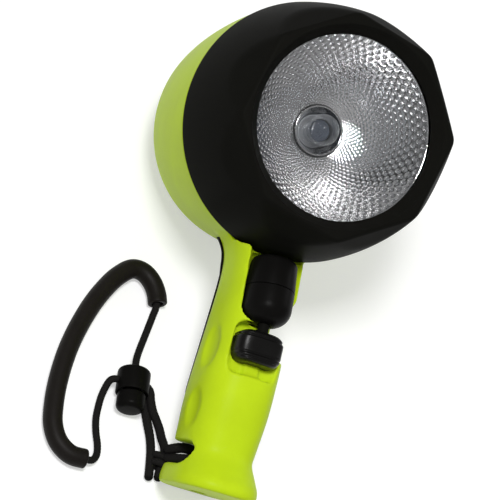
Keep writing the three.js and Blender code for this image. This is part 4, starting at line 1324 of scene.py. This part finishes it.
class SPOTLIGHT_OT_bezel(Operator):
    """Adds the screw-on bezel with its octagonal nose"""

    bl_idname = "spotlight.bezel"
    bl_label = "Bezel"

    def execute(self, context):
        rear_edge, front_edge = BEZEL_REAR_EDGE, BEZEL_FRONT_EDGE
        rise = BEZEL_LENGTH - front_edge - rear_edge
        heights = [rear_edge + rise * k / 60 for k in range(61)]
        outer = [(bezel_radius(h), h) for h in heights]
        rear = bezel_radius(0)
        nose = bezel_radius(BEZEL_LENGTH)
        lower = [
            (rear - rear_edge * (1 - math.sin(math.pi / 2 * k / 4)),
             rear_edge * (1 - math.cos(math.pi / 2 * k / 4))) for k in range(4)]
        crown = [
            (nose - front_edge * (1 - math.cos(math.pi / 2 * k / 5)),
             BEZEL_LENGTH - front_edge * (1 - math.sin(math.pi / 2 * k / 5)))
            for k in range(1, 6)]
        inner = filleted((
            (MOUTH_RADIUS, BEZEL_LENGTH, 0), (OPENING_RADIUS, LENS_FRONT + 1, 0.3),
            (OPENING_RADIUS, LENS_FRONT, 0.15), (POCKET_RADIUS, LENS_FRONT, 0),
            (POCKET_RADIUS, SKIRT_LENGTH, 0.3), (SKIRT_RADIUS, SKIRT_LENGTH, 0.3),
            (SKIRT_RADIUS, 0, 0.4)), 3, closed=False)
        profile = lower + outer + crown + inner
        bm = spun(profile, 288, phase=OCTAGON_TURN + math.pi / OCTAGON_SIDES)
        sector = FULL_TURN / OCTAGON_SIDES
        for vert in bm.verts:
            x, y, height = vert.co
            flat_radius = math.hypot(x, y)
            if flat_radius <= MOUTH_RADIUS + 0.4 and height > SKIRT_LENGTH:
                continue
            if height < SKIRT_LENGTH + 1 and flat_radius < SKIRT_RADIUS + 0.5:
                continue
            angle = math.atan2(y, x)
            turned = angle - OCTAGON_TURN - sector / 2
            within = turned - sector * round(turned / sector)
            flat = (OCTAGON_APOTHEM + OCTAGON_SLOPE * (BEZEL_LENGTH - height)) / math.cos(within)
            edge = sector / 2 - abs(within)
            flat -= CORNER_DIP * max(0.0, 1 - edge / CORNER_DIP_REACH) ** 2
            limit = bezel_radius(min(max(height, 0), BEZEL_LENGTH))
            inset = limit - flat_radius
            radius = soft_least(limit, flat, OCTAGON_SOFTNESS) - inset
            vert.co.x = radius * math.cos(angle)
            vert.co.y = radius * math.sin(angle)
        finished("bezel_shell", bm, BEAM, "bezel_ring", "black_plastic",
                 replaced=["bezel"], sharp=45)
        return {"FINISHED"}


DISH_CURVE = (DISH_RIM_RADIUS ** 2 - DISH_NECK_RADIUS ** 2) / (DISH_RIM_HEIGHT - DISH_NECK_HEIGHT)
DIMPLE_COLUMNS = (-0.5, -0.29, -0.19, -0.09, 0, 0.09, 0.19, 0.29)
DIMPLE_ROWS = (-0.5, -0.3, -0.15, 0, 0.15, 0.3)
DIMPLE_REACH = 0.26
RING_ROOM = 0.737
NECK_SPREAD = 1.5


def dish_height(radius):
    return DISH_NECK_HEIGHT + (radius ** 2 - DISH_NECK_RADIUS ** 2) / DISH_CURVE


def ring_count(radius):
    """Rings out to a radius, when each is as deep along the dish as it is far from the axis."""
    steepness = 2 * radius / DISH_CURVE
    return math.sqrt(1 + steepness ** 2) - math.asinh(1 / steepness)


def ring_radius(count):
    low, high = DISH_NECK_RADIUS / 2, DISH_RIM_RADIUS * 2
    for _ in range(40):
        middle = (low + high) / 2
        if ring_count(middle) < count:
            low = middle
        else:
            high = middle
    return low


def dimple_spread(ring, rings):
    """Dimples fill more of their room towards the neck."""
    return NECK_SPREAD - (NECK_SPREAD - 1) * (ring + 0.5) / rings


class SPOTLIGHT_OT_reflector(Operator):
    """Adds the bright dish with its rings of small raised dimples"""

    bl_idname = "spotlight.reflector"
    bl_label = "Reflector"

    def execute(self, context):
        around = sizes().dimple_columns
        room = FULL_TURN / around
        across, down = len(DIMPLE_COLUMNS), len(DIMPLE_ROWS)
        first_count, last_count = ring_count(DISH_NECK_RADIUS), ring_count(DISH_RIM_RADIUS)
        rings = round((last_count - first_count) / (room * RING_ROOM))
        front = []
        for step in range(rings * down + 1):
            ring, part = divmod(step, down)
            spread = dimple_spread(ring, rings) if part else 1
            share = (ring + DIMPLE_ROWS[part] * spread + 0.5) / rings
            front.append(ring_radius(first_count + (last_count - first_count) * share))
        flange_back = DISH_RIM_HEIGHT - FLANGE_THICKNESS
        last = math.sqrt(
            DISH_NECK_RADIUS ** 2 + (flange_back + DISH_WALL - DISH_NECK_HEIGHT) * DISH_CURVE)
        behind = []
        for k in range(11):
            radius = last + (DISH_NECK_RADIUS - last) * k / 10
            behind.append((radius + DISH_WALL, dish_height(radius) - DISH_WALL))
        lead = [
            (DISH_NECK_RADIUS, BOARD_FRONT + SEAT_GAP), (DISH_NECK_RADIUS, DISH_NECK_HEIGHT - 0.4)]
        rest = [
            (DISH_RIM_RADIUS + 0.25, DISH_RIM_HEIGHT), (LENS_RADIUS - 0.2, DISH_RIM_HEIGHT),
            (LENS_RADIUS, DISH_RIM_HEIGHT - 0.2), (LENS_RADIUS, flange_back), *behind,
            (DISH_NECK_RADIUS + DISH_WALL, BOARD_FRONT + SEAT_GAP), lead[0]]
        profile = lead + [(radius, None) for radius in front] + rest
        columns = around * across

        def place(column, row):
            radius, level = profile[row]
            angle = room * column / across
            if level is not None:
                return Vector((radius * math.cos(angle), radius * math.sin(angle), level))
            ring, part = divmod(row - len(lead), down)
            level = dish_height(radius)
            if part == 0:
                return Vector((radius * math.cos(angle), radius * math.sin(angle), level))
            stagger = across // 2 if ring % 2 else 0
            cell, place_in = divmod(column + stagger, across)
            spread = dimple_spread(ring, rings)
            off = DIMPLE_COLUMNS[place_in] * (spread if place_in else 1)
            angle = room * (cell + 0.5 + off - stagger / across)
            reach = math.hypot(off / spread, DIMPLE_ROWS[part] * RING_ROOM) / DIMPLE_REACH
            rise = sizes().dimple_height * spread * room * radius * max(0.0, 1 - reach ** 2)
            slope = 2 * radius / DISH_CURVE
            norm = math.hypot(slope, 1)
            radius -= rise * slope / norm
            return Vector((
                radius * math.cos(angle), radius * math.sin(angle), level + rise / norm))

        bm = wrapped(columns, len(profile) - 1, place)
        finished("reflector_dish", bm, BEAM, "lens_pack", "bright_reflector",
                 replaced=["reflector"], sharp=60)
        return {"FINISHED"}


class SPOTLIGHT_OT_light_engine(Operator):
    """Adds the front lens, the ring round the LED, its dome and its chip"""

    bl_idname = "spotlight.light_engine"
    bl_label = "Lens and LED"

    def execute(self, context):
        step_radius, step_height = LENS_RADIUS - LENS_STEP, LENS_FRONT - LENS_STEP
        face = LENS_FRONT - LENS_SUNK
        pane = filleted((
            (0, LENS_BACK, 0), (LENS_RADIUS, LENS_BACK, 0.3), (LENS_RADIUS, step_height, 0.2),
            (step_radius, step_height, 0.15), (step_radius, face, 0.5), (0, face, 0)), 3)
        finished("front_lens", spun(pane, 128), BEAM, "lens_pack", "clear_lens",
                 replaced=["lens"], sharp=50)

        base = BOARD_FRONT + SEAT_GAP
        collar = filleted((
            (COLLAR_BORE, base, 0), (COLLAR_RADIUS, base, 0.2), (COLLAR_RADIUS, COLLAR_TOP, 0.35),
            (COLLAR_RADIUS - 0.7, COLLAR_TOP, 0.3), (COLLAR_BORE + 0.7, COLLAR_TOP - 5, 5),
            (COLLAR_BORE, COLLAR_TOP - 6, 0.3)), 8)
        finished("led_ring", spun(collar, 96), BEAM, "lens_pack", "clear_lens", "bright_collar",
                 replaced=["led_collar"], sharp=50)

        foot = base + LED_BASE_THICKNESS + 0.4
        dome = [(CHIP_RADIUS + SEAT_GAP, foot), (DOME_RADIUS, foot)]
        for k in range(17):
            angle = math.pi / 2 * k / 16
            dome.append((
                max(0, DOME_RADIUS * math.cos(angle)), DOME_CENTRE + DOME_RADIUS * math.sin(angle)))
        dome += [(0, CHIP_TOP + SEAT_GAP), (CHIP_RADIUS + SEAT_GAP, CHIP_TOP + SEAT_GAP)]
        finished("led_bulb", spun(dome, 96), BEAM, "lens_pack", "clear_lens", "clear_dome",
                 replaced=["led_dome"], sharp=50)
        seat = base + LED_BASE_THICKNESS
        for name, reach, low, high, rounding in (
                ("led_base", LED_BASE_RADIUS, base, seat, 0.08),
                ("led_chip", CHIP_RADIUS, seat, CHIP_TOP, 1.6)):
            disc = filleted(
                ((0, low, 0), (reach, low, 0), (reach, high, rounding), (0, high, 0)), 6)
            finished(name, spun(disc, 64), BEAM, "lens_pack", "clear_lens", name, sharp=50)
        return {"FINISHED"}


# Switch

class SPOTLIGHT_OT_barrel(Operator):
    """Adds the sealed barrel of the switch: its upper sleeve and its round-ended boot"""

    bl_idname = "spotlight.barrel"
    bl_label = "Switch barrel"

    def execute(self, context):
        base, roof = BARREL_SEAM + SEAT_GAP, BARREL_TOP - BARREL_CAP
        sleeve = filleted((
            (0, roof, 0), (BARREL_BORE, roof, 0), (BARREL_BORE, base, 0.2),
            (BARREL_RADIUS, base, 0.15), (BARREL_TOP_RADIUS, BARREL_CROWN, 2.4),
            (0, BARREL_CROWN, 0)), 6)
        finished("barrel_sleeve", spun(sleeve, 96), BARREL, "light_body", "black_rubber",
                 "gloss_rubber", replaced=["switch_sleeve"], sharp=50)

        bore = ROD_RADIUS + SEAT_GAP
        boot = filleted((
            (bore, BARREL_END, 0), (BARREL_RADIUS, BARREL_END, BOOT_ROUNDING),
            (BARREL_RADIUS, BARREL_SEAM, 0.15), (bore, BARREL_SEAM, 0.2)), 10)
        finished("barrel_boot", spun(boot, 96), BARREL, "light_body", "black_rubber",
                 "gloss_rubber", replaced=["switch_boot"], sharp=50)
        return {"FINISHED"}


class SPOTLIGHT_OT_slide(Operator):
    """Adds the ribbed thumb slide and its rod"""

    bl_idname = "spotlight.slide"
    bl_label = "Thumb slide"

    def execute(self, context):
        sides, rows = 96, 96
        middle = SLIDE_TOP - SLIDE_LENGTH / 2
        level = (SLIDE_FACE + SLIDE_BASE) / 2

        def drawn_in(y, edge):
            """How far an end's rounding draws the section in."""
            left = SLIDE_LENGTH / 2 - abs(y)
            return edge - math.sqrt(max(0.0, edge ** 2 - (edge - left) ** 2)) if left < edge else 0

        def groove(y):
            depth = 0
            for groove_middle, groove_depth in SLIDE_GROOVES:
                off = abs(y - groove_middle) / GROOVE_REACH
                if off < 1:
                    depth += groove_depth * (0.5 + 0.5 * math.cos(math.pi * off))
            return depth

        def place(column, row):
            y = SLIDE_LENGTH / 2 * math.sin(math.pi / 2 * (1 - 2 * row / rows))
            angle = FULL_TURN * column / sides
            across, along = soft_square(angle, SLIDE_SQUARENESS)
            dish = SLIDE_DISH_DEPTH * max(0.0, 1 - (y / SLIDE_DISH_REACH) ** 2) * (
                1 - 0.7 * across ** 2)
            half_width = SLIDE_WIDTH / 2 - drawn_in(y, SLIDE_SIDE_ROUNDING) - 0.5 * groove(y)
            half_height = (SLIDE_FACE - SLIDE_BASE) / 2 - drawn_in(y, SLIDE_END_ROUNDING)
            half_height -= groove(y)
            z = half_height * along - max(along, 0) * dish
            return Vector((
                half_width * across, middle + y * math.cos(SLIDE_LEAN) + z * math.sin(SLIDE_LEAN),
                level - y * math.sin(SLIDE_LEAN) + z * math.cos(SLIDE_LEAN)))

        bm = wrapped(sides, rows, place, capped=True)
        under = placed(block(60, 80, 30, (0, 0, -15 + SEAT_GAP)), SLIDE_FLOOR)
        bm = combined(bm, under, "DIFFERENCE")
        bm = combined(bm, slide_rail(SEAT_GAP, SLIDE_TRAVEL_DOWN + SEAT_GAP), "DIFFERENCE")
        reach = (BARREL_PLACE[1] - SLIDE_TOP) / math.cos(BARREL_TILT) + ROD_SUNK
        bore, bore_low = ROD_RADIUS + SEAT_GAP, -reach - SEAT_GAP
        shaft = [(0, bore_low), (bore, bore_low), (bore, 0), (0, 0)]
        bm = combined(bm, placed(spun(shaft, 48, closed=False), BEAM.inverted() @ BARREL),
                      "DIFFERENCE")
        finished("thumb_slide", bm, BEAM, "switch_carriage", "black_plastic", "gloss_plastic",
                 replaced=["switch_slide"], sharp=42)

        rod = filleted((
            (0, -reach, 0), (ROD_RADIUS, -reach, 0.4), (ROD_RADIUS, ROD_TOP, 0.4),
            (0, ROD_TOP, 0)), 3)
        finished("slide_rod", spun(rod, 48), BARREL, "switch_carriage", "black_plastic",
                 replaced=["switch_rod"], sharp=50)
        return {"FINISHED"}


class SPOTLIGHT_OT_pin(Operator):
    """Adds the lanyard pin across the slot in the foot"""

    bl_idname = "spotlight.pin"
    bl_label = "Lanyard pin"

    def execute(self, context):
        turn = BEAM @ Matrix.Translation((0, 0, PIN_FORWARD)) @ Matrix.Rotation(
            -math.pi / 2, 4, "X")
        pin = filleted((
            (0, PIN_BOTTOM, 0), (PIN_RADIUS, PIN_BOTTOM, 0.6), (PIN_RADIUS, PIN_TOP, 0.4),
            (0, PIN_TOP, 0)), 4)
        finished("cross_pin", spun(pin, 64), turn, "light_body", "bright_steel",
                 replaced=["lanyard_pin"], sharp=50)
        return {"FINISHED"}


# Pieces that keep their solids

INNER_FINISHES = {
    "retaining_ring": "black_plastic", "lens_seal": "black_rubber", "body_seal": "black_rubber",
    "led_board": "dark_board", "heat_sink": "plain_aluminium", "contact_post": "brass_contact",
    "contact_board": "board_green", "battery_carrier": "black_plastic",
    "reed_switch": "black_plastic", "switch_magnet": "bright_steel",
    "lock_spring": "bright_steel",
}


class SPOTLIGHT_OT_inner_parts(Operator):
    """Gives the inner pieces, whose solids stay, their finishes"""

    bl_idname = "spotlight.inner_parts"
    bl_label = "Inner pieces"

    def execute(self, context):
        finishes = dict(INNER_FINISHES)
        for name in frame["nodes"]:
            if name.startswith("battery_cell"):
                finishes[name] = "cell_wrap"
            elif name.startswith("bridge_contact"):
                finishes[name] = "brass_contact"
        for name, slot in finishes.items():
            node = frame["nodes"][name]
            node.data.materials.clear()
            node.data.materials.append(finish_of(slot))
        return {"FINISHED"}


# Stage

FLOOR_REACH = 1.8
FLOOR_GLOW = 0.48
WORLD_LIGHT = 0.35


def floor_material():
    """Pale floor that a camera, a mirror or a clear piece sees as white, with its shadow."""
    finish = Finish("floor", (0.62, 0.62, 0.62), roughness=0.9, specular_ior_level=0.0)
    path = finish.node("ShaderNodeLightPath").outputs
    seen = Value(finish, path["Is Camera Ray"]).math("MAXIMUM", path["Is Glossy Ray"])
    seen = seen.math("MAXIMUM", path["Is Transmission Ray"])
    glow = finish.node(
        "ShaderNodeEmission", {}, {"Color": (1, 1, 1, 1), "Strength": seen * FLOOR_GLOW})
    total = finish.node("ShaderNodeAddShader")
    finish.link(finish.shader.outputs[0], total.inputs[0])
    finish.link(glow.outputs[0], total.inputs[1])
    finish.link(total.outputs[0], finish.output.inputs["Surface"])
    return finish.material


SOFTBOXES = (
    # name, direction, distance, size, power in watts
    ("overhead_box", (-0.27, -0.16, 0.95), 2.0, (0.38, 0.38), 27),
    ("right_box", (0.85, 0.35, 0.4), 2.0, (0.5, 0.5), 3),
    ("low_box", (-0.385, -0.875, 0.294), 2.0, (0.22, 0.22), 0.8),
)


def softbox(context, name, place, size, power, aim=(0, 0, 0.05)):
    data = bpy.data.lights.new(name, "AREA")
    data.shape = "RECTANGLE"
    data.size, data.size_y = size
    data.energy = power
    lamp = bpy.data.objects.new(name, data)
    context.scene.collection.objects.link(lamp)
    lamp.location = place
    lamp.rotation_mode = "QUATERNION"
    lamp.rotation_quaternion = (Vector(place) - Vector(aim)).to_track_quat("Z", "Y")


class SPOTLIGHT_OT_stage(Operator):
    """Adds the pale floor, the soft studio light and the background"""

    bl_idname = "spotlight.stage"
    bl_label = "Stage"

    def execute(self, context):
        bm = bmesh.new()
        bmesh.ops.create_grid(bm, x_segments=1, y_segments=1, size=FLOOR_REACH)
        bmesh.ops.translate(bm, verts=bm.verts, vec=(0, 0, -0.0001))
        floor = as_object("floor", bm)
        floor.data.materials.append(floor_material())

        world = bpy.data.worlds.new("studio")
        context.scene.world = world
        world.use_nodes = True
        background = world.node_tree.nodes["Background"]
        background.inputs["Color"].default_value = (1, 1, 1, 1)
        background.inputs["Strength"].default_value = WORLD_LIGHT
        for name, direction, distance, size, power in SOFTBOXES:
            softbox(context, name, Vector(direction).normalized() * distance, size, power)
        context.scene.view_settings.view_transform = "Standard"
        return {"FINISHED"}


class SPOTLIGHT_PT_pieces(Panel):
    bl_idname = "SPOTLIGHT_PT_pieces"
    bl_label = "Hand spotlight"
    bl_space_type = "VIEW_3D"
    bl_region_type = "UI"
    bl_category = "Spotlight"

    def draw(self, context):
        layout = self.layout
        for group in (context.scene.spotlight_sizes, context.scene.spotlight_colours):
            box = layout.box()
            for name in group.__annotations__:
                box.prop(group, name)
        for operator in OPERATORS:
            layout.operator(operator.bl_idname)


OPERATORS = (
    SPOTLIGHT_OT_camera,
    SPOTLIGHT_OT_knot,
    SPOTLIGHT_OT_grip_tube,
    SPOTLIGHT_OT_cord_lock,
    SPOTLIGHT_OT_cords,
    SPOTLIGHT_OT_housing,
    SPOTLIGHT_OT_spine_strip,
    SPOTLIGHT_OT_bezel,
    SPOTLIGHT_OT_reflector,
    SPOTLIGHT_OT_light_engine,
    SPOTLIGHT_OT_barrel,
    SPOTLIGHT_OT_slide,
    SPOTLIGHT_OT_pin,
    SPOTLIGHT_OT_inner_parts,
    SPOTLIGHT_OT_stage,
)
CLASSES = (SpotlightSizes, SpotlightColours, *OPERATORS, SPOTLIGHT_PT_pieces)


def register():
    for made in CLASSES:
        bpy.utils.register_class(made)
    bpy.types.Scene.spotlight_sizes = PointerProperty(type=SpotlightSizes)
    bpy.types.Scene.spotlight_colours = PointerProperty(type=SpotlightColours)


def unregister():
    del bpy.types.Scene.spotlight_colours
    del bpy.types.Scene.spotlight_sizes
    for made in reversed(CLASSES):
        bpy.utils.unregister_class(made)


def main():
    register()
    for operator in OPERATORS:
        group, name = operator.bl_idname.split(".")
        getattr(getattr(bpy.ops, group), name)()


if __name__ == "__main__":
    main()
